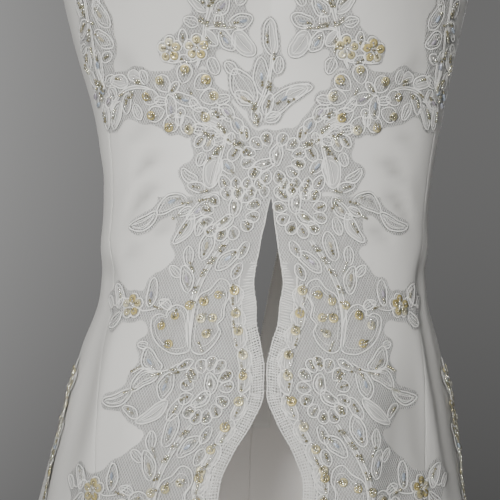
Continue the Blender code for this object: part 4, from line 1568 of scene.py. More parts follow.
    def ring(self, x: float, y: float, radius: float) -> None:
        """Draws a small ring with a bead in it."""
        steps = np.radians(np.arange(0, 360, 45))
        self.cord(np.stack([x + radius * np.cos(steps), y + radius * np.sin(steps)], axis=1),
                  closed=True)
        self.seeds(x, y, 0.0, 1)

    def flower(self, x: float, y: float, radius: float = 5.2) -> None:
        """Draws a flower of five outlined petals, each with a gold sequin, round a bead."""
        for number in range(5):
            turn = 90 + 72 * number + self.uneven(3.0)
            sine, cosine = math.sin(math.radians(turn)), math.cos(math.radians(turn))
            self.petals(x + (radius - 0.2) * cosine, y + (radius - 0.2) * sine, (0.01, 0.01), 1,
                        (8.4, 7.4), turn, bare=True)
            self.sequin(x + radius * cosine, y + radius * sine, turn + 180, 3.0, 2, 1)
        self.seeds(x, y, 0.0, 1)

    def fan(
        self, outline: Sequence[tuple[float, float]], sequins: Sequence[tuple[float, float, float]]
    ) -> None:
        """Draws a lobed petal round sequins.

        Args:
            outline: places round it.
            sequins: place and direction of each sequin and its row of beads.
        """
        places = np.array(outline, float)
        places += self.random.normal(0.0, 0.25, places.shape)
        self.cord(places, closed=True)
        middle = places.mean(axis=0)
        self.cord(middle + (places - middle) * 0.80, self.FINE, 0.05, True)
        for x, y, turn in sequins:
            self.sequin(x, y, turn, 3.2, 3)


# ---------------------------------------------------------------- lace motifs


RIBS_FROM, HOLES_FROM = 88.0, 46.0


def free_edge(rise: np.ndarray) -> np.ndarray:
    """Where the border's free edge lies, out from the satin's edge, by the drawing's height."""
    height = FIRST_SCALLOP + np.asarray(rise, float) / 1000
    turns = (height - FIRST_SCALLOP) / LACE_REPEAT
    wave = 0.5 + 0.5 * np.cos(2 * math.pi * turns)
    started = smooth((SCALLOP_START - height) / SCALLOP_RISE)
    hang = (SCALLOP_IN + (SCALLOP_OUT - SCALLOP_IN) * wave) * started
    return 1000 * (np.maximum(slit_gap(height) - hang, 0.0006) - slit_gap(height))


def daisy(d: Drawing, x: float, y: float, semi: tuple[float, float], count: int = 13) -> None:
    """A daisy of beaded petals round two leaves with a pearl each."""
    d.petals(x, y, semi, count, (10.2, 8.0), 8.0)
    d.leaf(x - 2.0, y + 4.5, 80, 15, 8.6, Leaf.NET, 1.0)
    d.leaf(x + 2.8, y - 5.5, -38, 15, 8.6, Leaf.NET, -1.0)
    d.bead("pearl", x - 2.0, y + 4.6, 80, (3.5, 1.5))
    d.bead("pearl", x + 2.8, y - 5.2, -38, (3.5, 1.5))


def border_repeat(d: Drawing, up: float) -> None:
    """One repeat of the border's flowers and leaves."""
    daisy(d, 17.7, up, (13.6, 18.0))
    d.stem([(u, v + up) for u, v in
            ((23, 103), (30, 91), (35.5, 78), (39, 64), (39.5, 48), (35, 29))], 3.0)
    for u, v, turn in ((26.5, 97, -52), (31.5, 88.5, -58), (35.5, 80, -66), (39.0, 68, -78)):
        d.seeds(u, v + up, turn, 3, 2)
    leaves = [
        (37.5, 99, 96, 22, 10, Leaf.CRYSTAL, 0.5), (21, 88, -46, 19, 10, Leaf.CRYSTAL, 1.0),
        (48, 75, 68, 21, 9, Leaf.CRYSTAL, 1.0), (72, 66, 88, 20, 8, Leaf.CRYSTAL, 0.5),
        (60, 57, 24, 12, 6, Leaf.NET, 1.0), (103, 63, 58, 19, 9, Leaf.HALF, 2.0),
        (101, 47, -38, 16, 8, Leaf.NET, -1.5), (113, 58, 40, 12, 6, Leaf.THREAD, 1.0),
        (59, 21, 44, 22, 11, Leaf.CRYSTAL, -3.0), (69, 29, 12, 8, 5, Leaf.NET, 0.0),
        (62, 5, -34, 21, 11, Leaf.NET, 3.0), (81, -5, -16, 25, 9, Leaf.NET, -3.0),
        (46, 2, -82, 19, 11, Leaf.CRYSTAL, 1.0), (53, -15, -40, 26, 9, Leaf.THREAD, -2.0),
        (37, -13, -64, 17, 8, Leaf.SEEDS, 0.0), (68, -16, 34, 14, 6, Leaf.SEEDS, 1.0),
        (57, 81, 40, 12, 6, Leaf.NET, 0.0), (12, 96, -70, 13, 7, Leaf.SEEDS, 0.0),
        (13, 81, -76, 12, 7, Leaf.SEEDS, 0.0), (36, 17, -30, 12, 6, Leaf.SEEDS, 0.0),
        (49, 92, 84, 14, 7, Leaf.NET, 0.0),
    ]
    for u, v, turn, length, width, kind, bend in leaves:
        d.leaf(u, v + up, turn, length, width, kind, bend)
    d.fan([(u, v + up) for u, v in (
        (34.6, 28.4), (38.5, 43.8), (43.0, 54.0), (50.5, 57.6), (56.8, 54.5), (57.0, 49.8),
        (62.4, 51.6), (67.5, 47.5), (64.5, 38.0), (57.0, 29.5), (46.0, 24.0), (38.0, 24.6),
    )], [(49.7, 49.7 + up, 80), (58.0, 42.5 + up, 70), (49.7, 30.4 + up, 12)])
    d.fan([(u, v + up) for u, v in (
        (33.5, 28.0), (26.0, 24.5), (19.0, 30.0), (15.5, 39.0), (19.5, 44.0), (15.5, 49.0),
        (17.0, 57.0), (14.5, 65.0), (17.0, 73.0), (24.0, 75.5), (29.0, 69.0), (35.5, 64.5),
        (37.5, 55.0), (36.5, 41.0),
    )], [(23.0, 48.5 + up, 10), (25.0, 37.5 + up, 130), (22.5, 64.5 + up, 160),
         (31.5, 60.0 + up, 90)])
    for u, v in ((41.0, 57.0), (31.0, 48.0)):
        d.sequin(u, v + up, float(37 * u + 61 * v) % 180)
    for u, v, turn in ((64, 55, 18), (42, 11, -14), (54, 10, -16), (27, 29, 60), (45, 84, 60),
                       (70, 13, -30), (31, 8, 50), (72, -2, -20)):
        d.seeds(u, v + up, turn, 4)
    d.seeds(43, 13.5 + up, -14, 3)
    d.flower(86, 56 + up)
    d.cord([(92, 60 + up), (97, 62 + up), (104, 56 + up), (110, 58 + up)])
    d.cord([(58, 62 + up), (66, 55 + up), (76, 53 + up), (80, 55 + up)])
    d.cord([(40, 18 + up), (48, 13 + up), (57, 12 + up), (66, 14 + up), (73, 10 + up)])
    for number, v in enumerate((64, 48, 36, 20, 6, -11, -28, -43, -57)):
        u = float(free_edge(v + up)) + 14.8
        ahead = float(free_edge(v + up + 5)) - float(free_edge(v + up - 5))
        turn = math.degrees(math.atan2(10.0, ahead))
        d.leaf(u, v + up, turn, 18.0, 9.2, Leaf.THREAD, 1.8)
        d.sequin(u + 0.4, v + 3.6 + up, turn + 20 * (number % 3 - 1))
        d.seeds(u + 0.2, v - 3.8 + up, turn, 3)


def ribbed_edge(d: Drawing, top: float, low: float) -> None:
    """The ribbed border along the free edge: ribs, threads and a rim cord.

    Args:
        d: the drawing.
        top: height of its upper end.
        low: height of its lower end.
    """
    rise = np.arange(top, low, -0.5)
    edge = np.stack([free_edge(rise), rise], axis=1)
    run = np.concatenate([[0], np.cumsum(np.linalg.norm(np.diff(edge, axis=0), axis=1))])

    def offset(step: float, away: Sequence[float]) -> np.ndarray:
        """Places at distances in from the edge, every step along it."""
        even = np.arange(0, run[-1], step)
        line = np.stack([np.interp(even, run, edge[:, k]) for k in (0, 1)], axis=1)
        way = np.gradient(line, axis=0)
        way /= np.linalg.norm(way, axis=1, keepdims=True)
        inward = np.stack([-way[:, 1], way[:, 0]], axis=1)
        return line[:, None] + inward[:, None] * np.array(away)[None, :, None]

    for number, rib in enumerate(offset(1.85, (-1.1, 1.4, 5.4, 9.2))):
        if rib[0, 1] > RIBS_FROM:
            continue
        rib[0] += (0.5 * (number % 2) + 0.3) * (rib[1] - rib[0])
        begun = float(smooth((RIBS_FROM - rib[0, 1]) / 22.0))
        rib = rib[:1] + (rib - rib[:1]) * (0.45 + 0.55 * begun + 0.05 * math.sin(2.3 * number))
        rib[:, 1] += 0.25 * np.sin(1.3 * number + np.arange(len(rib)))
        lift = 0.02 + 0.10 * begun + 0.06 * math.sin(1.7 * number)
        d.cords.append(Cord(rib, 0.60, lift, 0.0))
    for away, radius, lift in ((0.5, 0.50, 0.12), (2.4, 0.46, 0.02), (4.2, 0.46, 0.0),
                               (6.0, 0.44, 0.0), (7.8, 0.42, 0.0), (9.6, 0.62, 0.18)):
        line = offset(3.0, (away,))[:, 0]
        line[:, 0] += 0.25 * np.sin(line[:, 1] * 0.31 + away)
        if 1.0 < away < 9.0:
            line = line[line[:, 1] < HOLES_FROM]
        elif away > 9.0:
            line = line[line[:, 1] < RIBS_FROM - 6.0]
        d.cords.append(Cord(line, radius, lift, 0.0))
    band = offset(2.0, np.linspace(0.6, 9.4, 6))
    band = band[(band[:, 0, 1] >= HOLES_FROM - 3.0) & (band[:, 0, 1] < RIBS_FROM)]
    d.patches.append(Patch(band, 0.05 + 0 * band[..., 0], band[..., 1] * 1.9))
    inner = offset(2.0, (10.6,))[:, 0]
    inner = inner[inner[:, 0] < -0.5]
    breaks = np.flatnonzero(np.linalg.norm(np.diff(inner, axis=0), axis=1) > 4.0) + 1
    for line in np.split(inner, breaks):
        if len(line) > 4:
            wave = 1.6 + 0.8 * np.sin(line[:, 1] * 0.9)
            ends = np.stack([np.maximum(wave, line[:, 0] + 0.3), line[:, 1]], axis=1)
            share = np.linspace(0, 1, 8)[None, :, None]
            grid = line[:, None] + (ends - line)[:, None] * share
            d.patches.append(Patch(grid, -0.15 + 0 * grid[..., 0], grid[..., 0] * 0.8 + grid[..., 1]))


def draw_border(side: int) -> Drawing:
    """The border along one edge of the slit, from its top to the hem."""
    d = Drawing(11 if side > 0 else 23)
    low = (HEM + 0.004 - FIRST_SCALLOP) * 1000
    ribbed_edge(d, 133.0, low)
    if side > 0:
        daisy(d, 19.0, 124.0, (14.0, 15.0), 11)
    else:
        daisy(d, 26.0, 121.5, (16.5, 14.5), 12)
    leaves = [
        (69, 127, -22, 23, 12, Leaf.CRYSTAL, 3.5), (90, 118, -22, 27, 9, Leaf.NET, -3.5),
        (49, 125, -52, 20, 9, Leaf.CRYSTAL, -2.0), (57, 111, -64, 24, 9, Leaf.HALF, -2.5),
        (44, 112, -80, 14, 7, Leaf.NET, 0.0), (58, 123, -30, 11, 6, Leaf.NET, 0.0),
    ]
    for leaf in leaves:
        d.leaf(*leaf)
    for u, v, turn in ((46, 131, -12), (58, 129, -12), (42, 126, 60), (63, 120, -30)):
        d.seeds(u, v, turn, 4)
    for number in range(8):
        d.step = 2.15 if number < 3 else 3.6
        border_repeat(d, -126.0 * number)
    return trimmed(d, low)


def trimmed(d: Drawing, low: float) -> Drawing:
    """The drawing without whatever reaches below its lower edge."""
    d.cords = [c for c in d.cords if c.path[:, 1].min() > low]
    d.patches = [p for p in d.patches if p.grid[..., 1].min() > low]
    for kind, beads in d.beads.items():
        d.beads[kind] = [b for b in beads if b[1] > low + 4]
    return d


def draw_band(side: int) -> Drawing:
    """The blossom under the bust, and the vine that leaves it for the side."""
    d = Drawing(31 if side > 0 else 37)
    middle = np.array([66.0, 65.0])
    for x, y in ((79, 80), (61, 87), (47, 80), (42, 69), (48, 55), (86, 57), (73, 49), (59, 47),
                 (90, 70)):
        way = np.array([x, y]) - middle
        turn = math.degrees(math.atan2(way[1], way[0]))
        at = np.array([x, y]) - way / np.linalg.norm(way) * 2.6
        d.petals(float(at[0]), float(at[1]), (0.01, 0.01), 1, (13.5, 11.0), turn, True)
    leaves = [
        (73, 62, 84, 18, 8, Leaf.CRYSTAL, 1.0), (61, 68, -162, 18, 8, Leaf.CRYSTAL, 1.0),
        (54, 63, -138, 12, 6, Leaf.NET, 1.0), (69, 75, 130, 11, 6, Leaf.SEEDS, 0.0),
        (80, 67, 10, 11, 6, Leaf.NET, 0.0), (66, 53, -80, 9, 6, Leaf.NET, 0.0),
        (108, 66, -75, 15, 8, Leaf.SEEDS, 1.0), (115, 81, 13, 17, 9, Leaf.HALF, 1.0),
        (101, 84, 15, 12, 8, Leaf.THREAD, 1.0), (123, 73, 57, 11, 8, Leaf.NET, 1.0),
        (119, 59, -62, 21, 10, Leaf.HALF, 1.0), (133, 59, -98, 19, 9, Leaf.HALF, -1.0),
        (128, 68, -40, 12, 7, Leaf.CRYSTAL, 0.0), (99, 60, -120, 13, 7, Leaf.NET, 0.0),
        (38, 57, -150, 12, 7, Leaf.SEEDS, 0.0), (35, 66, 165, 11, 7, Leaf.NET, 0.0),
        (93, 84, 70, 11, 7, Leaf.NET, 0.0),
    ]
    for leaf in leaves:
        d.leaf(*leaf)
    d.ring(65, 58, 3.4)
    d.stem([(88, 75), (97, 77), (108, 76), (118, 70), (127, 62)], 1.8)
    for x, y, turn, rows in ((58, 73, 60, 1), (104, 72, -60, 2), (112, 73, -30, 1), (98, 81, 20, 2),
                             (139, 83, 40, 2), (136, 73, 60, 2), (66, 70, 20, 1)):
        d.seeds(x, y, turn, 3, rows)
    d.bead("crystal", 133, 76, 20, (2.6, 1.3))
    d.bead("crystal", 141, 68, -40, (2.6, 1.3))
    return d


def draw_column(side: int) -> Drawing:
    """The vine that climbs from the blossom."""
    d = Drawing(41 if side > 0 else 43)
    d.stem([(53, 88), (49, 98), (47, 108), (46, 116), (43, 126), (40, 138), (38, 150), (35, 163),
            (33, 178)], 1.8)
    d.stem([(46, 114), (39, 115), (30, 114), (22, 116)], 1.5)
    leaves = [
        (35, 129, 135, 16, 10, Leaf.CRYSTAL, 1.0), (21, 120, 166, 17, 10, Leaf.CRYSTAL, 1.0),
        (42, 108, -129, 13, 8, Leaf.HALF, 1.0), (31, 106, -125, 16, 9, Leaf.CRYSTAL, 1.0),
        (19, 104, -128, 21, 12, Leaf.THREAD, 1.0), (51, 130, 40, 16, 9, Leaf.HALF, 1.0),
        (28, 144, 150, 17, 10, Leaf.HALF, 1.0), (48, 146, 35, 15, 8, Leaf.CRYSTAL, 1.0),
        (27, 160, 140, 15, 8, Leaf.CRYSTAL, 1.0), (44, 163, 48, 15, 8, Leaf.THREAD, 1.0),
        (27, 174, 130, 12, 7, Leaf.SEEDS, 0.0), (33, 183, 92, 14, 7, Leaf.THREAD, 0.0),
        (55, 119, 20, 11, 7, Leaf.NET, 0.0), (61, 94, 30, 10, 7, Leaf.SEEDS, 0.0),
        (36, 120, 100, 9, 6, Leaf.NET, 0.0), (41, 90, -110, 12, 8, Leaf.NET, 0.0),
        (20, 134, 120, 11, 7, Leaf.NET, 0.0),
    ]
    for leaf in leaves:
        d.leaf(*leaf)
    for x, y, turn, rows in ((41, 132, -62, 2), (47, 119, 30, 2), (36, 117, 5, 2), (45, 102, 60, 1),
                             (40, 143, -80, 2), (37, 156, -75, 2), (28, 115, 0, 1), (34, 170, 80, 1)):
        d.seeds(x, y, turn, 4, rows)
    d.flower(52, 102)
    d.flower(71, 101)
    d.cord([(45, 104), (53, 93), (62, 93), (70, 92), (78, 95)])
    d.leaf(62, 108, 90, 12, 6, Leaf.SEEDS)
    return d


def draw_armhole(side: int) -> Drawing:
    """The vine beside the armhole."""
    d = Drawing(53 if side > 0 else 59)
    d.stem([(130, 78), (135, 90), (138, 104), (137, 116), (141, 128), (143, 142), (141, 156),
            (135, 168), (128, 181), (119, 195)], 1.8)
    leaves = [
        (126, 128, -133, 24, 11, Leaf.CRYSTAL, 1.0), (124, 112, -142, 19, 10, Leaf.CRYSTAL, 1.0),
        (149, 120, -35, 18, 10, Leaf.CRYSTAL, 1.0), (152, 137, 60, 15, 9, Leaf.HALF, 1.0),
        (133, 94, -98, 24, 9, Leaf.CRYSTAL, 1.0), (147, 101, -75, 16, 9, Leaf.HALF, 0.0),
        (129, 148, 140, 20, 10, Leaf.HALF, 1.0), (152, 154, 40, 18, 9, Leaf.CRYSTAL, 0.0),
        (121, 168, 146, 19, 9, Leaf.THREAD, 1.0), (143, 172, 44, 19, 9, Leaf.CRYSTAL, 0.0),
        (112, 184, 150, 18, 8, Leaf.HALF, 1.0), (131, 192, 50, 18, 8, Leaf.SEEDS, 0.0),
        (115, 203, 96, 14, 7, Leaf.NET, 0.0), (148, 166, 92, 13, 7, Leaf.NET, 0.0),
        (131, 137, 120, 12, 7, Leaf.NET, 0.0), (146, 86, 60, 14, 8, Leaf.THREAD, 0.0),
        (124, 83, 150, 12, 7, Leaf.NET, 0.0), (125, 99, 160, 11, 7, Leaf.SEEDS, 0.0),
        (154, 108, -20, 12, 7, Leaf.NET, 0.0), (144, 74, -60, 14, 8, Leaf.CRYSTAL, 0.0),
        (134, 158, 120, 12, 7, Leaf.SEEDS, 0.0), (133, 180, 30, 11, 6, Leaf.NET, 0.0),
    ]
    for leaf in leaves:
        d.leaf(*leaf)
    for x, y, turn, rows in ((145, 134, 70, 2), (140, 116, -70, 2), (133, 80, 60, 2), (140, 104, 80, 1),
                             (141, 160, -80, 2), (129, 177, -60, 2), (143, 147, 80, 1),
                             (152, 94, 40, 2), (137, 124, 20, 1)):
        d.seeds(x, y, turn, 4, rows)
    return d


def draw_sprig() -> Drawing:
    """The sprig at centre front, above the rosette."""
    d = Drawing(61)
    leaves = [
        (0, 109, 90, 26, 10, Leaf.HALF, 1.0), (-7, 82, 92, 27, 11, Leaf.CRYSTAL, 1.0),
        (-20, 76, 122, 26, 16, Leaf.NET, 1.0), (-20, 68, 150, 15, 9, Leaf.CRYSTAL, 1.0),
        (9, 65, 34, 36, 12, Leaf.CRYSTAL, 3.0), (17, 72, 24, 20, 8, Leaf.THREAD, 1.0),
        (-4, 64, 70, 15, 7, Leaf.SEEDS, 0.0), (4, 90, 80, 13, 7, Leaf.NET, 0.0),
        (-12, 55, 110, 11, 7, Leaf.SEEDS, 0.0), (-29, 88, 130, 11, 7, Leaf.NET, 0.0),
        (0, 54, 30, 12, 7, Leaf.NET, 0.0),
    ]
    for leaf in leaves:
        d.leaf(*leaf)
    d.stem([(-12, 49), (-11, 60), (-7, 70), (-2, 84), (0, 97)], 1.6)
    for x, y, turn, rows in ((-12, 52, 80, 2), (-13, 61, 60, 2), (12, 66, 30, 1), (-3, 76, 80, 2),
                             (1, 96, 88, 1)):
        d.seeds(x, y, turn, 3, rows)
    return d


def draw_yoke() -> tuple[Drawing, Drawing]:
    """The rosette over the slit, and what stands beside it on one side.

    Returns:
        The rosette's drawing, and the drawing of its right side, which its left repeats.
    """
    d = Drawing(67)
    d.petals(0.5, 26, (18.0, 13.6), 12, (10.4, 8.4), 15.0)
    d.leaf(2.6, 28.5, 80, 16, 8.6, Leaf.NET, 1.0)
    d.leaf(-5.5, 22.5, 196, 15, 8.0, Leaf.NET, 1.0)
    d.bead("pearl", 2.6, 28, 80, (3.6, 1.5))
    d.bead("pearl", -5.5, 22.5, 196, (3.6, 1.5))
    aside = Drawing(71)
    leaves = [
        (33, 57, 52, 14, 9, Leaf.CRYSTAL, 1.0), (42, 53, 27, 13, 9, Leaf.HALF, 1.0),
        (26, 49, 62, 13, 8, Leaf.CRYSTAL, 1.0), (42, 44, 10, 12, 7, Leaf.NET, 1.0),
        (51, 38, -49, 11, 7, Leaf.SEEDS, 0.0), (45, 36, -60, 11, 8, Leaf.CRYSTAL, 0.0),
        (37, 38, -20, 11, 8, Leaf.NET, 1.0), (41, 16, -78, 23, 13, Leaf.THREAD, 1.0),
        (50, 26, -66, 10, 7, Leaf.NET, 0.0), (27, 30, -60, 14, 8, Leaf.SEEDS, 0.0),
        (31, 20, 48, 12, 8, Leaf.CRYSTAL, 0.0), (33, 9, 59, 12, 8, Leaf.SEEDS, 0.0),
        (58, 15, 40, 15, 7, Leaf.NET, -2.0), (53, 6, 15, 14, 7, Leaf.SEEDS, 0.0),
        (20, 43, 80, 11, 7, Leaf.HALF, 0.0), (52, 47, 10, 11, 7, Leaf.NET, 0.0),
        (29, 40, 100, 9, 6, Leaf.NET, 0.0),
    ]
    for leaf in leaves:
        aside.leaf(*leaf)
    for x, y, turn in ((9, 8, 250), (17, 9, 285), (25, 9, 270), (5, 2.5, 90), (14, 2.5, 80),
                       (24, 1, 270)):
        aside.petals(x, y, (0.01, 0.01), 1, (8.6, 7.2), turn)
    aside.stem([(20, 32), (27, 35), (35, 42), (43, 48), (50, 51)], 1.8)
    aside.stem([(33, 44), (34, 36), (36, 28), (38, 20), (41, 6)], 1.6)
    for x, y, turn, rows in ((46, 42, 30, 2), (36, 47, 40, 2), (38, 32, -50, 2), (29, 37, 40, 1),
                             (46, 3, -10, 1), (43, 27, -50, 1), (24, 36, 30, 2)):
        aside.seeds(x, y, turn, 4, rows)
    return d, aside


def draw_trim(side: int) -> Drawing:
    """The trim down the side panel, drawn from the middle of its path."""
    d = Drawing(73 if side > 0 else 79)
    path = [(0, -118), (1, -140), (-3, -164), (3, -188), (-2, -214), (3, -240), (-2, -266),
            (3, -292), (-2, -318), (3, -344), (-2, -370), (1, -396), (0, -410)]
    d.stem(path, 2.2)
    for number, (x, y) in enumerate(path[1:-1]):
        turn = 40 if number % 2 else 140
        out = 7 if number % 2 else -7
        kind = (Leaf.HALF, Leaf.THREAD, Leaf.CRYSTAL)[number % 3]
        d.leaf(x + out, y + 6, turn, 19, 8, kind, 1.0)
        d.leaf(x - out, y - 6, 180 - turn, 14, 7, Leaf.SEEDS, 0.0)
        d.seeds(x - out * 0.4, y + 2, turn, 3)
        for across, up in ((-7.5, 13), (7.5, 1)):
            d.sequin(x + across, y + up, turn, 2.6, 2, 1)
        for up in (-9, 0, 9):
            d.seeds(x - 4.5, y + up, 90, 3, 2)
            d.seeds(x + 4.5, y + up + 4, 90, 3, 2)
    return d


# ---------------------------------------------------------------- lace, laid on the dress


@dataclass
class Laying:
    """Where a flat drawing lies on the dress."""

    side: int = 1
    lift: float = 0.95

    def spot(self, flat: np.ndarray) -> tuple[np.ndarray, np.ndarray]:
        """Angle and height of each place of the drawing, for the right side."""
        height = SLIT_TOP + flat[..., 1] / 1000
        run = np.abs(flat[..., 0])
        return np.sign(flat[..., 0]) * WRAP.angle(run, height), height

    def __call__(
        self, flat: np.ndarray, over: np.ndarray | float = 0.0
    ) -> tuple[np.ndarray, np.ndarray]:
        """Points on the dress and the outward directions there.

        Args:
            flat: places of the drawing, in millimetres.
            over: height over the net, in millimetres.

        Returns:
            The points and the directions.
        """
        angle, height = self.spot(flat)
        return FORM.lay(self.side * angle, height, (self.lift + np.asarray(over)) / 1000)


class BorderLaying(Laying):
    """A drawing that starts at the slit's edge and at the first scallop's middle."""

    def spot(self, flat: np.ndarray) -> tuple[np.ndarray, np.ndarray]:
        """Angle and height of each place of the drawing, for the right side."""
        height = FIRST_SCALLOP + flat[..., 1] / 1000
        run = 1000 * slit_gap(height) + flat[..., 0]
        return np.sign(run) * WRAP.angle(np.abs(run), height), height


class SideLaying(Laying):
    """A drawing that hangs down the middle of a side panel."""

    MIDDLE = 77.5

    def spot(self, flat: np.ndarray) -> tuple[np.ndarray, np.ndarray]:
        """Angle and height of each place of the drawing, for the right side."""
        height = SLIT_TOP + flat[..., 1] / 1000
        radius = FORM.half_width(height) * 1000
        return math.radians(self.MIDDLE) + flat[..., 0] / radius, height


# Cross-section of a cord with its foot: places aside and up, in radii of the cord.
FOOTED = np.array([(0.72, 0.80), (1.80, -0.45), (-1.80, -0.45), (-0.72, 0.80)])


def cords_mesh(drawings: Sequence[tuple[Drawing, Laying]], parts: MeshParts) -> None:
    """Adds every cord of some drawings as four-sided tubes that taper to their ends."""
    sides = 4
    for d, lay in drawings:
        cords = d.cords
        sizes = np.array([len(c.path) for c in cords])
        flat = np.concatenate([c.path for c in cords])
        radius = np.repeat([c.radius for c in cords], sizes)
        lift = np.repeat([c.lift for c in cords], sizes)
        last = np.cumsum(sizes) - 1
        first = last - sizes + 1
        number = np.arange(len(flat))
        before, after = np.maximum(number - 1, 0), np.minimum(number + 1, len(flat) - 1)
        before[first], after[last] = first, last
        centre, way = lay(flat, lift)
        along = centre[after] - centre[before]
        along /= np.maximum(np.linalg.norm(along, axis=1, keepdims=True), 1e-9)
        aside = np.cross(way, along)
        aside /= np.maximum(np.linalg.norm(aside, axis=1, keepdims=True), 1e-9)
        thin = np.ones(len(flat))
        thin[first], thin[last] = 0.45, 0.45
        turn = 2 * math.pi * (np.arange(sides) + 0.5) / sides
        plain = 1.15 * np.stack([np.sin(turn), np.cos(turn)], axis=1)
        foot = np.repeat([c.foot for c in cords], sizes)
        ends = (plain + foot[:, None, None] * (FOOTED - plain)) * (radius * thin / 1000)[:, None, None]
        ring = centre[:, None] + ends[..., :1] * aside[:, None] + ends[..., 1:] * way[:, None]
        going = np.ones(len(flat), bool)
        going[last] = False
        start = np.flatnonzero(going)[:, None] * sides
        k = np.arange(sides)[None, :]
        faces = np.stack(
            [start + k, start + sides + k, start + sides + (k + 1) % sides, start + (k + 1) % sides],
            axis=-1,
        ).reshape(-1, 4)
        step = np.linalg.norm(flat[after] - flat[before], axis=1) / 2
        run = np.cumsum(step)
        low, high = run[going][:, None] + 0 * k, run[np.flatnonzero(going) + 1][:, None] + 0 * k
        shown = foot[going][:, None]
        # The second texture place runs round each tube, and the cord's colour uses it to paint shade on the
        # underside and foot; a cord without a foot gets a place in the lit part.
        around, next_around = (
            shown * (k + more) / sides + (1 - shown) * 0.165 + 0 * low for more in (0.5, 1.5)
        )
        places = np.stack([
            np.stack([low, around], -1), np.stack([high, around], -1),
            np.stack([high, next_around], -1), np.stack([low, next_around], -1),
        ], axis=2).reshape(-1, 4, 2)
        parts.add(ring.reshape(-1, 3), faces, places)


def patches_mesh(drawings: Sequence[tuple[Drawing, Laying]], parts: MeshParts) -> None:
    """Adds every filled area of some drawings."""
    for d, lay in drawings:
        for patch in d.patches:
            rows, columns = patch.grid.shape[:2]
            points, _ = lay(patch.grid, patch.lift)
            faces = grid_faces(rows, columns, lay.side > 0)
            places = np.stack([patch.thread, 0 * patch.thread], axis=-1).reshape(-1, 2)
            parts.add(points.reshape(-1, 3), faces, places[faces])


def ball(rings: int, sides: int, sharp: bool = False) -> tuple[np.ndarray, list[np.ndarray]]:
    """A unit ball, or a faceted one whose faces don't share points.

    Args:
        rings: bands from pole to pole.
        sides: points round it.
        sharp: whether it is faceted.

    Returns:
        Its points and its faces, in arrays of triangles and of quads.
    """
    up = np.linspace(0, math.pi, rings + 1)[1:-1]
    turn = 2 * math.pi * np.arange(sides) / sides
    middle = np.stack([
        np.cos(up)[:, None] + 0 * turn, np.sin(up)[:, None] * np.cos(turn),
        np.sin(up)[:, None] * np.sin(turn),
    ], axis=-1).reshape(-1, 3)
    points = np.concatenate([[[1.0, 0, 0]], middle, [[-1.0, 0, 0]]])
    k, count = np.arange(sides), len(points)
    caps = np.concatenate([
        np.stack([0 * k, 1 + k, 1 + (k + 1) % sides], axis=1),
        np.stack([0 * k + count - 1, count - 1 - sides + (k + 1) % sides, count - 1 - sides + k], 1),
    ])
    quads = np.concatenate([
        1 + np.stack([r * sides + k, (r + 1) * sides + k, (r + 1) * sides + (k + 1) % sides,
                      r * sides + (k + 1) % sides], axis=1)
        for r in range(rings - 2)
    ])
    if not sharp:
        return points, [caps, quads]
    loose = np.concatenate([points[caps.ravel()], points[quads.ravel()]])
    split = caps.size
    return loose, [
        np.arange(split).reshape(-1, 3), np.arange(split, split + quads.size).reshape(-1, 4)
    ]


def cup(sides: int = 10) -> tuple[np.ndarray, list[np.ndarray]]:
    """A cupped sequin of unit radius with a hole, as both its faces."""
    radii = np.array([0.16, 0.55, 1.0, 0.92, 0.50, 0.16])
    rises = np.array([0.05, 0.10, 0.42, 0.30, 0.02, 0.05])
    turn = 2 * math.pi * np.arange(sides) / sides
    points = np.stack([
        radii[:, None] * np.cos(turn), radii[:, None] * np.sin(turn), rises[:, None] + 0 * turn
    ], axis=-1).reshape(-1, 3)
    k = np.arange(sides)
    quads = np.concatenate([
        np.stack([r * sides + k, r * sides + (k + 1) % sides, (r + 1) * sides + (k + 1) % sides,
                  (r + 1) * sides + k], axis=1)[:, ::-1]
        for r in range(len(radii) - 1)
    ])
    return points, [quads]


BEAD_FORMS = {
    "seed": (ball(4, 6), 0.86), "pearl": (ball(8, 10), 1.0),
    "crystal": (ball(5, 6, True), 1.0), "sequin": (cup(), 1.0), "tooth": (ball(4, 6), 1.5),
}


def beads_mesh(drawings: Sequence[tuple[Drawing, Laying]], kind: str, parts: MeshParts) -> int:
    """Adds every bead of one kind.

    Args:
        drawings: the drawings, and where each lies.
        kind: seed, pearl, crystal or sequin.
        parts: the mesh that they are added to.

    Returns:
        The number of beads.
    """
    (shape, faces), squash = BEAD_FORMS[kind]
    total = 0
    for d, lay in drawings:
        beads = np.array(d.beads[kind])
        if not len(beads):
            continue
        total += len(beads)
        flat, turn = beads[:, :2], np.radians(beads[:, 2])
        half, wide, tone = beads[:, 3], beads[:, 4], beads[:, 5]
        rest = np.where(kind == "sequin", 0.55, wide * 0.95 + 0.15 + beads[:, 6])
        centre, way = lay(flat, rest)
        ahead, _ = lay(flat + 0.8 * np.stack([np.cos(turn), np.sin(turn)], axis=1), rest)
        along = ahead - centre
        along -= way * (along * way).sum(1, keepdims=True)
        along /= np.linalg.norm(along, axis=1, keepdims=True)
        aside = np.cross(way, along)
        deep = wide if kind == "sequin" else wide * squash
        points = centre[:, None] + (
            along[:, None] * (shape[:, 0] * half[:, None])[..., None]
            + aside[:, None] * (shape[:, 1] * wide[:, None])[..., None]
            + way[:, None] * (shape[:, 2] * deep[:, None])[..., None]
        ) / 1000
        tones = np.repeat(tone, len(shape))
        offsets = np.arange(len(beads))[:, None, None] * len(shape)
        base = parts.count
        parts.points.append(points.reshape(-1, 3))
        parts.tones.append(tones)
        parts.count += len(tones)
        for group in faces:
            joined = (group[None] + offsets).reshape(-1, group.shape[1])
            parts.faces.append((joined + base, np.zeros((*joined.shape, 2)), 0))
    return total


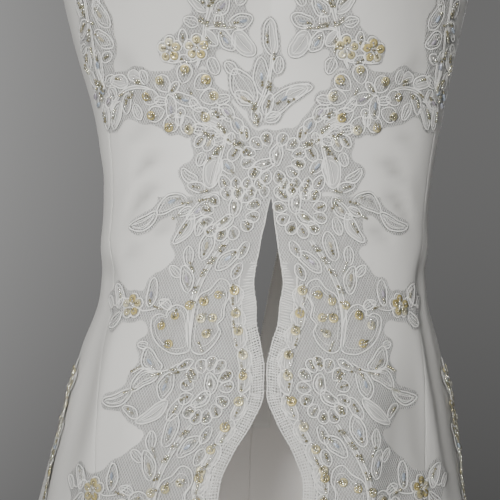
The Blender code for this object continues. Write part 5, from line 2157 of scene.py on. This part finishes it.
@dataclass
class NetCloth:
    """Net cut along the outline of its motifs."""

    cell: float = 2.0
    reach: float = 1.0
    close: float = 5.5

    def cut(
        self, d: Drawing, shift: Callable[[np.ndarray], np.ndarray] | None = None,
        full: Callable[[np.ndarray, np.ndarray], np.ndarray] | None = None,
        top: float | None = None,
    ) -> tuple[np.ndarray, np.ndarray]:
        """Cuts the net for a drawing.

        Args:
            d: the drawing.
            shift: where each row of the net starts, or none.
            full: where the net is whole whatever is drawn on it, or none.
            top: the net's upper edge, or none.

        Returns:
            Its points in the drawing, and its quads.
        """
        drawn = np.concatenate([c.path for c in d.cords])
        rows_at = drawn[:, 1]
        across = drawn[:, 0] - (shift(rows_at) if shift else 0.0)
        margin = self.reach + self.close + 2 * self.cell
        low = np.array([0.0 if shift else across.min() - margin, rows_at.min() - margin])
        high = np.array([across.max() + margin, rows_at.max() + margin])
        if top is not None:
            high[1] = top
        size = np.ceil((high - low) / self.cell).astype(int) + 1
        cells = [((high[k] - low[k]) / (size[k] - 1)) for k in (0, 1)]
        mask = np.zeros(size, bool)
        index = [
            np.clip(np.round((value - low[k]) / cells[k]).astype(int), 0, size[k] - 1)
            for k, value in enumerate((across, rows_at))
        ]
        keep = rows_at <= high[1] + self.cell
        mask[index[0][keep], index[1][keep]] = True
        mask = self._grown(mask, self.reach + self.close)
        mask = ~self._grown(~mask, self.close)
        gx, gy = np.meshgrid(*(low[k] + cells[k] * np.arange(size[k]) for k in (0, 1)), indexing="ij")
        if full:
            mask |= full(gx, gy)
        mask = self._filled(mask)
        value = mask.astype(float)
        for _ in range(2):
            padded = np.pad(value, 1, mode="edge")
            value = sum(
                padded[1 + a:padded.shape[0] - 1 + a, 1 + b:padded.shape[1] - 1 + b]
                for a in (-1, 0, 1) for b in (-1, 0, 1)
            ) / 9
        value -= 0.5
        number = np.arange(size[0] * size[1]).reshape(size)
        quads = np.stack(
            [number[:-1, :-1], number[1:, :-1], number[1:, 1:], number[:-1, 1:]], axis=-1
        ).reshape(-1, 4)
        quads = quads[value.ravel()[quads].mean(axis=1) > 0]
        slope = np.stack(np.gradient(value, *cells), axis=-1)
        power = np.maximum((slope**2).sum(-1), 1e-4)
        move = -value[..., None] * slope / power[..., None]
        far = np.linalg.norm(move, axis=-1, keepdims=True)
        move *= np.minimum(1.0, 0.75 * self.cell / np.maximum(far, 1e-6))
        uses = np.bincount(quads.ravel(), minlength=number.size).reshape(size)
        inner = np.full(size, 4)
        inner[0, :] = inner[-1, :] = 2
        inner[:, 0] = inner[:, -1] = 2
        rim = (uses > 0) & (uses < inner)
        places = np.stack([gx, gy], axis=-1)
        move[..., 0] = np.where((gx <= low[0] + 1e-6) & bool(shift), 0.0, move[..., 0])
        places[rim] += move[rim]
        if shift:
            places[..., 0] += shift(places[..., 1])
        used = np.unique(quads)
        renumber = np.full(number.size, -1)
        renumber[used] = np.arange(len(used))
        return places.reshape(-1, 2)[used], renumber[quads]

    @staticmethod
    def _filled(mask: np.ndarray) -> np.ndarray:
        """A mask without holes: only what the first row's side reaches stays out."""
        open_cells = np.pad(~mask, 1, constant_values=True)
        reached = np.zeros_like(open_cells)
        reached[-1, :] = True
        while True:
            grown = reached.copy()
            grown[1:] |= reached[:-1]
            grown[:-1] |= reached[1:]
            grown[:, 1:] |= reached[:, :-1]
            grown[:, :-1] |= reached[:, 1:]
            grown &= open_cells
            if (grown == reached).all():
                return ~reached[1:-1, 1:-1]
            reached = grown

    def _grown(self, mask: np.ndarray, radius: float) -> np.ndarray:
        """A mask grown by a radius in millimetres."""
        reach = int(radius / self.cell)
        padded = np.pad(mask, reach)
        grown = np.zeros_like(mask)
        for a in range(-reach, reach + 1):
            for b in range(-reach, reach + 1):
                if a * a + b * b <= (radius / self.cell) ** 2:
                    grown |= padded[
                        reach + a:reach + a + mask.shape[0], reach + b:reach + b + mask.shape[1]
                    ]
        return grown


@dataclass
class LacePiece:
    """One piece of lace: its net, cords, thread fillings and beads."""

    name: str
    node: str
    drawings: list[tuple[Drawing, Laying]]
    on: tuple[str, ...] = ("satin_front",)
    shift: Callable[[np.ndarray], np.ndarray] | None = None
    full: Callable[[np.ndarray, np.ndarray], np.ndarray] | None = None
    top: float | None = None
    bare: Callable[[np.ndarray], np.ndarray] | None = None
    ground: NetCloth = field(default_factory=NetCloth)

    def net(self) -> bpy.types.Object:
        """The net, as a sheet in its solid's place."""
        parts = MeshParts()
        joined, lay = Drawing(0), self.drawings[0][1]
        for d, each in self.drawings:
            for cord in d.cords:
                path = cord.path * (each.side * lay.side, 1)
                joined.cords.append(Cord(path, cord.radius, cord.lift))
        flat, quads = self.ground.cut(joined, self.shift, self.full, self.top)
        points, _ = lay(flat, 0.0)
        faces = quads if lay.side > 0 else quads[:, ::-1]
        bare = self.bare(flat) if self.bare else 0.0
        parts.add(points, faces, flat[faces], tone=bare)
        made = parts.piece(f"{self.name}_net", (NET,))
        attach(made, "dress")
        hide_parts(self.node)
        return made

    def trimming(self) -> list[bpy.types.Object]:
        """The cords, thread fillings and beads on the net."""
        made = []
        for word, build, finish in (("cord", cords_mesh, CORD), ("thread", patches_mesh, THREAD)):
            parts = MeshParts()
            build(self.drawings, parts)
            made.append((parts, word, finish, "lace"))
        for kind, finish, slot in (("seed", SEED, "pearl"), ("pearl", PEARL, "pearl"),
                                   ("crystal", CRYSTAL, "sequin"), ("sequin", SEQUIN, "sequin")):
            parts = MeshParts()
            if beads_mesh(self.drawings, kind, parts):
                made.append((parts, kind, finish, slot))
        pieces = []
        for parts, word, finish, slot in made:
            piece = parts.piece(f"{self.name}_{word}", (finish,))
            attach(piece, "dress")
            pieces.append(piece)
        return pieces

    def build(self) -> list[bpy.types.Object]:
        """Builds the piece."""
        return [self.net(), *self.trimming()]


def border_full(across: np.ndarray, rise: np.ndarray) -> np.ndarray:
    """Where the border's net is whole: from its free edge to its wavy outer edge."""
    turns = (rise / 1000 - BORDER_WAVE_AT) / LACE_REPEAT
    width = 1000 * (BORDER_WIDTH + BORDER_WAVE * np.cos(2 * math.pi * turns)) - 6.0
    low = (HEM + 0.003 - FIRST_SCALLOP) * 1000
    return (across + free_edge(rise) < width) & (rise > low)


def border_bare(flat: np.ndarray) -> np.ndarray:
    """1 where the border's ribs and threads are its only ground, 0 elsewhere."""
    inward = flat[:, 0] - free_edge(flat[:, 1])
    return ((inward < 9.0) & (flat[:, 1] < HOLES_FROM)).astype(float)


class Lace:
    """All the lace of the dress."""

    def pieces(self) -> list[LacePiece]:
        """The pieces, drawn."""
        rosette, aside = draw_yoke()
        made = [
            LacePiece("yoke", "lace_yoke", [
                (rosette, Laying(1)), (aside, Laying(1)), (aside, Laying(-1)),
            ]),
            LacePiece("sprig", "lace_sprig", [(draw_sprig(), Laying(1))],
                      ground=NetCloth(cell=1.5, close=2.6)),
        ]
        for side, word in ((1, "right"), (-1, "left")):
            over = (f"satin_side_{word}",)
            made += [
                LacePiece(f"border_{word}", f"lace_border_{word}",
                          [(draw_border(side), BorderLaying(side))],
                          shift=free_edge, full=border_full, top=133.6, bare=border_bare),
                LacePiece(f"band_{word}", f"lace_band_{word}",
                          [(draw_band(side), Laying(side))]),
                LacePiece(f"column_{word}", f"lace_column_{word}",
                          [(draw_column(side), Laying(side))],
                          ground=NetCloth(cell=1.5, close=3.0)),
                LacePiece(f"armhole_{word}", f"lace_armhole_{word}",
                          [(draw_armhole(side), Laying(side))], on=("satin_front", *over)),
                LacePiece(f"side_{word}", f"lace_side_{word}",
                          [(draw_trim(side), SideLaying(side))], on=over),
            ]
        return made

    def build(self) -> list[bpy.types.Object]:
        """Builds every piece of lace.

        Returns:
            Their objects.
        """
        return [made for piece in self.pieces() for made in piece.build()]


# ---------------------------------------------------------------- zip and sewing


@dataclass
class BackLaying(Laying):
    """Places beside centre back: millimetres out from the zip's middle, and heights."""

    lift: float = -1000 * (TAPE_IN + TAPE / 2)

    def spot(self, flat: np.ndarray) -> tuple[np.ndarray, np.ndarray]:
        """Angle and height of each place of the drawing, for the right side."""
        height = flat[..., 1] / 1000
        return math.pi - FORM.angle_of(flat[..., 0] / 1000, height), height


def rounded(size: Sequence[float], place: Sequence[float]) -> tuple[np.ndarray, list[np.ndarray]]:
    """A block with rounded edges, as points and quads.

    Args:
        size: its three sides.
        place: its middle.

    Returns:
        The points and the faces.
    """
    corners, steps = 0.3 * min(size), (-1.0, -0.86, -0.5, 0.5, 0.86, 1.0)
    mesh = bmesh.new()
    bmesh.ops.create_cube(mesh, size=1.0)
    bmesh.ops.scale(mesh, vec=size, verts=mesh.verts)
    bmesh.ops.bevel(mesh, geom=mesh.edges[:], offset=corners, segments=len(steps) // 2,
                    affect="EDGES", profile=0.5)
    mesh.verts.index_update()
    points = np.array([v.co for v in mesh.verts]) + np.array(place)
    faces = [np.array([[v.index for v in f.verts]]) for f in mesh.faces]
    mesh.free()
    return points, faces


class Zip:
    """The zip, undone: two tapes, their teeth, and the slider with its tab."""

    TOOTH, TOOTH_PITCH = (1.35, 0.62), 1.9
    PLATE, PLATE_GAP = (0.0062, 0.0010, 0.0100), 0.0005
    POST, POST_IN = 0.0018, 0.0003
    LUG_OUT, LUG_HEIGHT, LUG_BAR, LUG_TOP = 0.0030, 0.0052, 0.0009, 0.0008
    LUG_FOOT, LUG_UP, SLIDER_UP = 0.0002, 0.0004, 0.0035
    PULL, PULL_EYE, PULL_BAR = (0.0034, 0.0010, 0.0240), (0.0018, 0.0034), 0.0011

    def opening(self, height: np.ndarray) -> np.ndarray:
        """Distance of a tape's inner edge from the zip's middle, in metres."""
        return looked_up(BACK_OPENING, height, 1) + SEAM_GAP / 2

    def heights(self) -> np.ndarray:
        """Heights along a tape, up to the back's neckline."""
        rows = np.linspace(ZIP_FOOT, STRAP_BASE, 90)
        start = SKIRT_ROWS[-3]
        return rows - (STRAP_BASE - BACK_NECK) * smooth((rows - start) / (STRAP_BASE - start))

    def tape(self, side: int) -> bpy.types.Object:
        """One tape, as a thin sheet inside the back's edge."""
        rows = self.heights()[:, None]
        x = self.opening(rows) + ZIP_TAPE * np.linspace(0, 1, 7)
        angle = side * (math.pi - FORM.angle_of(x, rows + 0 * x))
        outer, way = FORM.lay(angle, rows, -TAPE_IN)
        parts = MeshParts()
        shell([Grid(outer, outer - way * TAPE, np.ones(x.shape, bool), side > 0)], parts)
        word = "right" if side > 0 else "left"
        made = parts.piece(f"zip_tape_{word}_cloth", (TAPE_CLOTH, TAPE_CLOTH))
        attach(made, "dress")
        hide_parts(f"zip_tape_{word}")
        return made

    def teeth(self, side: int) -> bpy.types.Object:
        """The teeth on one tape's edge, between those of the other where it is closed."""
        d = Drawing(83)
        low, high = 1000 * self.heights()[[0, -1]]
        first = low + 3.0 + (self.TOOTH_PITCH / 2 if side > 0 else 0.0)
        half, wide = self.TOOTH
        for height in np.arange(first, high - 5.0, self.TOOTH_PITCH):
            out = 1000 * float(self.opening(height / 1000)) + 0.55
            d.beads["tooth"].append((out, float(height), 0.0, half, wide, 0.0, -0.95 * wide - 0.15))
        parts = MeshParts()
        beads_mesh([(d, BackLaying(side))], "tooth", parts)
        made = parts.piece(f"zip_teeth_{'right' if side > 0 else 'left'}", (TEETH,))
        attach(made, "dress")
        return made

    def slider_frame(self) -> Matrix:
        """The slider's frame: X across, Y outward and Z up along the cloth."""
        ends, _ = FORM.lay(np.array([math.pi] * 2), np.array([ZIP_CLOSED, ZIP_PARTED]), 0.0)
        step = ends[1] - ends[0]
        up = Vector((0.0, step[1], step[2])).normalized()
        out = up.cross(Vector((1.0, 0.0, 0.0)))
        share = self.SLIDER_UP / (ZIP_PARTED - ZIP_CLOSED)
        turn = Matrix((Vector((1.0, 0.0, 0.0)), out, up)).transposed().to_4x4()
        return Matrix.Translation(Vector(ends[0] + step * share)) @ turn

    def metal(
        self, name: str, body: str, node: str, parts: MeshParts, place: Matrix
    ) -> bpy.types.Object:
        """A nickel piece, put in its node's place.

        Args:
            name: the piece's name.
            body: the body that it moves with.
            node: the node that it stands for.
            parts: its mesh, in its own frame.
            place: that frame.

        Returns:
            The object.
        """
        turn = np.array(place)
        parts.points = [points @ turn[:3, :3].T + turn[:3, 3] for points in parts.points]
        made = parts.piece(name, (NICKEL,))
        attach(made, body)
        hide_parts(node)
        return made

    def slider(self, place: Matrix) -> tuple[bpy.types.Object, Vector]:
        """The slider, and the middle of its bridge in its own frame."""
        outer = -TAPE_IN + self.PLATE_GAP + self.PLATE[1] / 2
        inner = -TAPE_IN - TAPE - self.PLATE_GAP - self.PLATE[1] / 2
        face = outer + self.PLATE[1] / 2
        bar, post = self.LUG_BAR, self.POST
        foot = self.LUG_OUT - self.LUG_TOP
        parts = MeshParts()
        for size, at in (
            (self.PLATE, (0, outer, 0)),
            (self.PLATE, (0, inner, 0)),
            ((post, outer - inner, post),
             (0, (outer + inner) / 2, self.PLATE[2] / 2 - post / 2 - self.POST_IN)),
            ((bar, self.LUG_OUT + bar / 2, bar),
             (0, face + self.LUG_OUT / 2 - bar / 4, self.LUG_UP + self.LUG_HEIGHT / 2 - bar / 2)),
            ((bar, self.LUG_OUT + bar / 2, bar),
             (0, face + self.LUG_OUT / 2 - bar / 4, self.LUG_UP - self.LUG_HEIGHT / 2 + bar / 2)),
            ((bar, self.LUG_TOP, self.LUG_HEIGHT), (0, face + foot + self.LUG_TOP / 2, self.LUG_UP)),
        ):
            points, faces = rounded(size, at)
            start = parts.count
            parts.add(points, faces[0])
            parts.faces += [(f + start, np.zeros((*f.shape, 2)), 0) for f in faces[1:]]
        made = self.metal("zip_slider_metal", "dress", "zip_slider", parts, place)
        return made, Vector((0, face + (foot + self.LUG_FOOT) / 2, self.LUG_UP))

    def tab(self, place: Matrix) -> bpy.types.Object:
        """The tab: a rounded bar with an eye, hanging from the slider's bridge."""
        width, thick, length = self.PULL
        turn = np.radians(np.arange(0, 360, 10))[None, :]
        cosine, sine = np.cos(turn), np.sin(turn)
        loops = []
        for middle, half_x, half_z, power, edge in (
            (self.PULL_BAR / 2 - length / 2, width / 2, length / 2, 0.35, (0.5, 0.3, -0.3, -0.5)),
            (-(self.PULL_BAR + self.PULL_EYE[1]) / 2, self.PULL_EYE[0] / 2, self.PULL_EYE[1] / 2,
             0.7, (-0.5, -0.3, 0.3, 0.5)),
        ):
            for level in edge:
                trim = 0.0 if abs(level) < 0.4 else 0.00016 * (1 if power > 0.5 else -1)
                x = (half_x + trim) * np.sign(cosine) * np.abs(cosine) ** power
                z = middle + (half_z + trim) * np.sign(sine) * np.abs(sine) ** power
                loops.append(np.stack([x, level * thick + 0 * x, z], axis=-1)[0])
        rings, count = len(loops), turn.size
        k = np.arange(count)
        faces = np.concatenate([
            np.stack([r * count + k, r * count + (k + 1) % count,
                      (r + 1) % rings * count + (k + 1) % count, (r + 1) % rings * count + k], 1)
            for r in range(rings)
        ])
        parts = MeshParts()
        parts.add(np.concatenate(loops), faces)
        return self.metal("zip_tab_metal", "pull_tab", "zip_pull", parts, place)

    def build(self) -> list[bpy.types.Object]:
        """Builds the zip.

        Returns:
            Its objects.
        """
        frame_of = self.slider_frame()
        slider, bridge = self.slider(frame_of)
        tab = self.tab(frame_of @ Matrix.Translation(bridge))
        sides = [made for side in (1, -1) for made in (self.tape(side), self.teeth(side))]
        return [*sides, slider, tab]


class Sewing:
    """Rows of stitches in the satin."""

    LENGTH, PITCH, RADIUS = 2.4, 3.6, 0.20

    def row(self, parts: MeshParts, angle: np.ndarray, height: np.ndarray) -> None:
        """Adds a row of stitches.

        Args:
            parts: the mesh that it is added to.
            angle: angles along the row.
            height: heights along it.
        """
        points, ways = FORM.lay(angle, height, 0.0)
        run = 1000 * np.concatenate([[0], np.cumsum(np.linalg.norm(np.diff(points, axis=0), axis=1))])
        starts = np.arange(self.PITCH, run[-1] - self.PITCH, self.PITCH)
        at = starts[:, None] + self.LENGTH * np.array([0.0, 0.2, 0.8, 1.0])[None, :]
        place, way = (
            np.stack([np.interp(at, run, each[:, k]) for k in range(3)], axis=-1)
            for each in (points, ways)
        )
        lift = np.array([-0.35, 0.05, 0.05, -0.35])[None, :, None] / 1000
        place = place + way * lift
        along = place[:, -1:] - place[:, :1]
        along /= np.linalg.norm(along, axis=-1, keepdims=True)
        aside = np.cross(way, along)
        turn = 2 * math.pi * np.arange(4) / 4
        ring = place[:, :, None] + self.RADIUS / 1000 * (
            np.cos(turn)[:, None] * aside[:, :, None] + np.sin(turn)[:, None] * way[:, :, None]
        )
        k = np.arange(4)
        faces = np.concatenate([
            np.stack([4 * r + k, 4 * r + (k + 1) % 4, 4 * r + 4 + (k + 1) % 4, 4 * r + 4 + k], 1)
            for r in range(3)
        ])
        faces = (faces[None] + 16 * np.arange(len(starts))[:, None, None]).reshape(-1, 4)
        places = np.stack([0 * faces, 0 * faces + 0.5], axis=-1) + 0.25 * np.array(
            [(0, -1), (0, 1), (8, 1), (8, -1)])
        parts.add(ring.reshape(-1, 3), faces, places)

    def build(self) -> list[bpy.types.Object]:
        """Builds the stitches of the hem, the zip and the neckline's edges.

        Returns:
            Their objects.
        """
        made = []
        for side, word in ((1, "right"), (-1, "left")):
            parts = MeshParts()
            rows = np.linspace(ZIP_FOOT - 0.004, -0.215, 160)
            for away in (0.0065, 0.0130):
                self.row(parts, side * (back_edge(rows) - away / FORM.half_width(rows)), rows)
            hem = np.full(240, HEM + 0.022)
            seams = [seam_angle(hem[:1], side, front)[0] for front in (True, False)]
            self.row(parts, side * np.linspace(front_edge(hem[:1])[0] + 0.02, seams[0] - 0.01, 240), hem)
            self.row(parts, side * np.linspace(seams[0] + 0.01, seams[1] - 0.01, 240), hem)
            self.row(parts, side * np.linspace(seams[1] + 0.01, math.pi - 0.02, 240), hem)
            straps = np.linspace(STRAP_BASE + 0.004, -0.006, 60)
            for neck, outer, sign in ((front_neck, front_outer, 1), (back_neck, back_outer, -1)):
                inset = sign * 0.0035 / FORM.half_width(straps)
                self.row(parts, side * (neck(straps, side) + inset), straps)
                self.row(parts, side * (outer(straps, side) - inset), straps)
            piece = parts.piece(f"stitches_{word}", (STITCH,))
            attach(piece, "dress")
            made.append(piece)
        return made


# ---------------------------------------------------------------- the studio


@dataclass
class Studio:
    """Camera, lights, floor and background."""

    distance: float = 1.10
    azimuth: float = -2.0
    height: float = -0.448
    lens: float = 104.2
    shift: float = -0.032

    def camera(self) -> None:
        """Adds the camera, level with the waist and a little to the left."""
        data = bpy.data.cameras.new("camera")
        data.sensor_width, data.lens, data.shift_x = 36.0, self.lens, self.shift
        made = bpy.data.objects.new("camera", data)
        turn = math.radians(self.azimuth)
        made.location = (
            self.distance * math.sin(turn), -self.distance * math.cos(turn), self.height
        )
        made.rotation_euler = (math.pi / 2, 0.0, turn)
        bpy.context.scene.collection.objects.link(made)
        bpy.context.scene.camera = made

    def lamp(
        self, name: str, place: Sequence[float], size: float, power: float, warmth: Colour,
        spread: float = 180.0,
    ) -> None:
        """Adds a soft square lamp that points at the dress's waist.

        Args:
            name: the lamp's name.
            place: where it stands.
            size: its side.
            power: its power in watts.
            warmth: its colour.
            spread: how wide its beam is, in degrees.
        """
        data = bpy.data.lights.new(name, "AREA")
        data.energy, data.size, data.color = power, size, warmth
        data.spread = math.radians(spread)
        made = bpy.data.objects.new(name, data)
        made.location = place
        aim = Vector((0.0, 0.0, -0.40)) - made.location
        made.rotation_euler = aim.to_track_quat("-Z", "Y").to_euler()
        bpy.context.scene.collection.objects.link(made)

    def glow(self, name: str, place: Sequence[float], power: float) -> None:
        """Adds a small lamp that the camera doesn't see.

        Args:
            name: the lamp's name.
            place: where it stands.
            power: its power in watts.
        """
        data = bpy.data.lights.new(name, "POINT")
        data.energy, data.shadow_soft_size = power, 0.06
        made = bpy.data.objects.new(name, data)
        made.location = place
        made.visible_camera = False
        bpy.context.scene.collection.objects.link(made)

    def surroundings(self) -> None:
        """Adds the grey background, paler to the left and above, and its soft light."""
        world = bpy.data.worlds.new("studio")
        bpy.context.scene.world = world
        world.use_nodes = True
        w = Wiring(world.node_tree)
        w.tree.nodes.clear()
        parts = w.node("ShaderNodeSeparateXYZ")
        w.feed(parts.inputs[0], w.node("ShaderNodeTexCoord").outputs["Generated"])
        aside, up = (
            w.math("MINIMUM", w.math("MAXIMUM", parts.outputs[name], -0.2), 0.2) for name in "XZ"
        )
        aside = w.math("MULTIPLY", aside, w.math("MULTIPLY_ADD", aside, 10.0, -3.4))
        up = w.math("MULTIPLY", up, w.math("MULTIPLY_ADD", up, -8.0, 2.45))
        power = w.math("ADD", aside, up)
        power = w.math("MINIMUM", w.math("MAXIMUM", power, -1.3), 1.3)
        grey = w.math("MULTIPLY", w.math("POWER", 2.0, power), 0.166)
        backdrop, light = w.node("ShaderNodeBackground"), w.node("ShaderNodeBackground")
        tint = w.node("ShaderNodeCombineColor")
        for name, share in (("Red", 1.0), ("Green", 0.995), ("Blue", 0.985)):
            w.feed(tint.inputs[name], w.math("MULTIPLY", grey, share))
        w.feed(backdrop.inputs["Color"], tint.outputs["Color"])
        toward = w.math("MULTIPLY_ADD", parts.outputs["X"], -0.30,
                        w.math("MULTIPLY", parts.outputs["Y"], -0.55))
        sky = w.spread(w.math("MULTIPLY_ADD", parts.outputs["Z"], 0.35, toward), -0.3, 0.9,
                       (0.06, 0.50))
        w.feed(light.inputs["Color"], sky)
        joined = w.node("ShaderNodeMixShader")
        w.feed(joined.inputs["Fac"], w.node("ShaderNodeLightPath").outputs["Is Camera Ray"])
        w.feed(joined.inputs[1], light.outputs[0])
        w.feed(joined.inputs[2], backdrop.outputs[0])
        w.feed(w.node("ShaderNodeOutputWorld").inputs["Surface"], joined.outputs[0])

    def floor(self) -> None:
        """Adds the plain pale floor."""
        steps = np.linspace(0, 2 * math.pi, 65)[:-1]
        rim = 3.2 * np.stack([np.cos(steps), np.sin(steps)], axis=1)
        points = np.concatenate([rim, np.full((64, 1), HEM - 0.002)], axis=1)
        parts = MeshParts()
        parts.add(points, np.arange(64)[None, :])
        parts.piece("floor", (FLOOR,))

    def build(self) -> None:
        """Builds all of it."""
        self.camera()
        self.surroundings()
        self.floor()
        self.lamp("key", (-0.48, -1.93, -0.25), 0.30, 1.6, (1.0, 0.995, 0.97), 34.0)
        self.lamp("fill", (0.3, -2.55, 0.7), 1.2, 4.2, (0.97, 0.98, 1.0))
        self.glow("inside", (0.0, 0.02, -0.78), 0.36)
        self.lamp("top", (-0.2, 1.2, 1.3), 1.2, 5.0, (1.0, 1.0, 1.0))
        self.lamp("rear", (0.5, 2.6, 0.4), 1.2, 16.0, (1.0, 1.0, 1.0))


# ---------------------------------------------------------------- the whole dress


def main() -> None:
    """Builds the dress's looks and the studio, in order."""
    logging.basicConfig(level=logging.INFO, format="%(name)s: %(message)s")
    Studio().build()
    for maker in (Satin(), Lace(), Zip(), Sewing()):
        for made in maker.build():
            LOG.info("%s: %d faces", made.name, len(made.data.polygons))


if __name__ == "__main__":
    main()
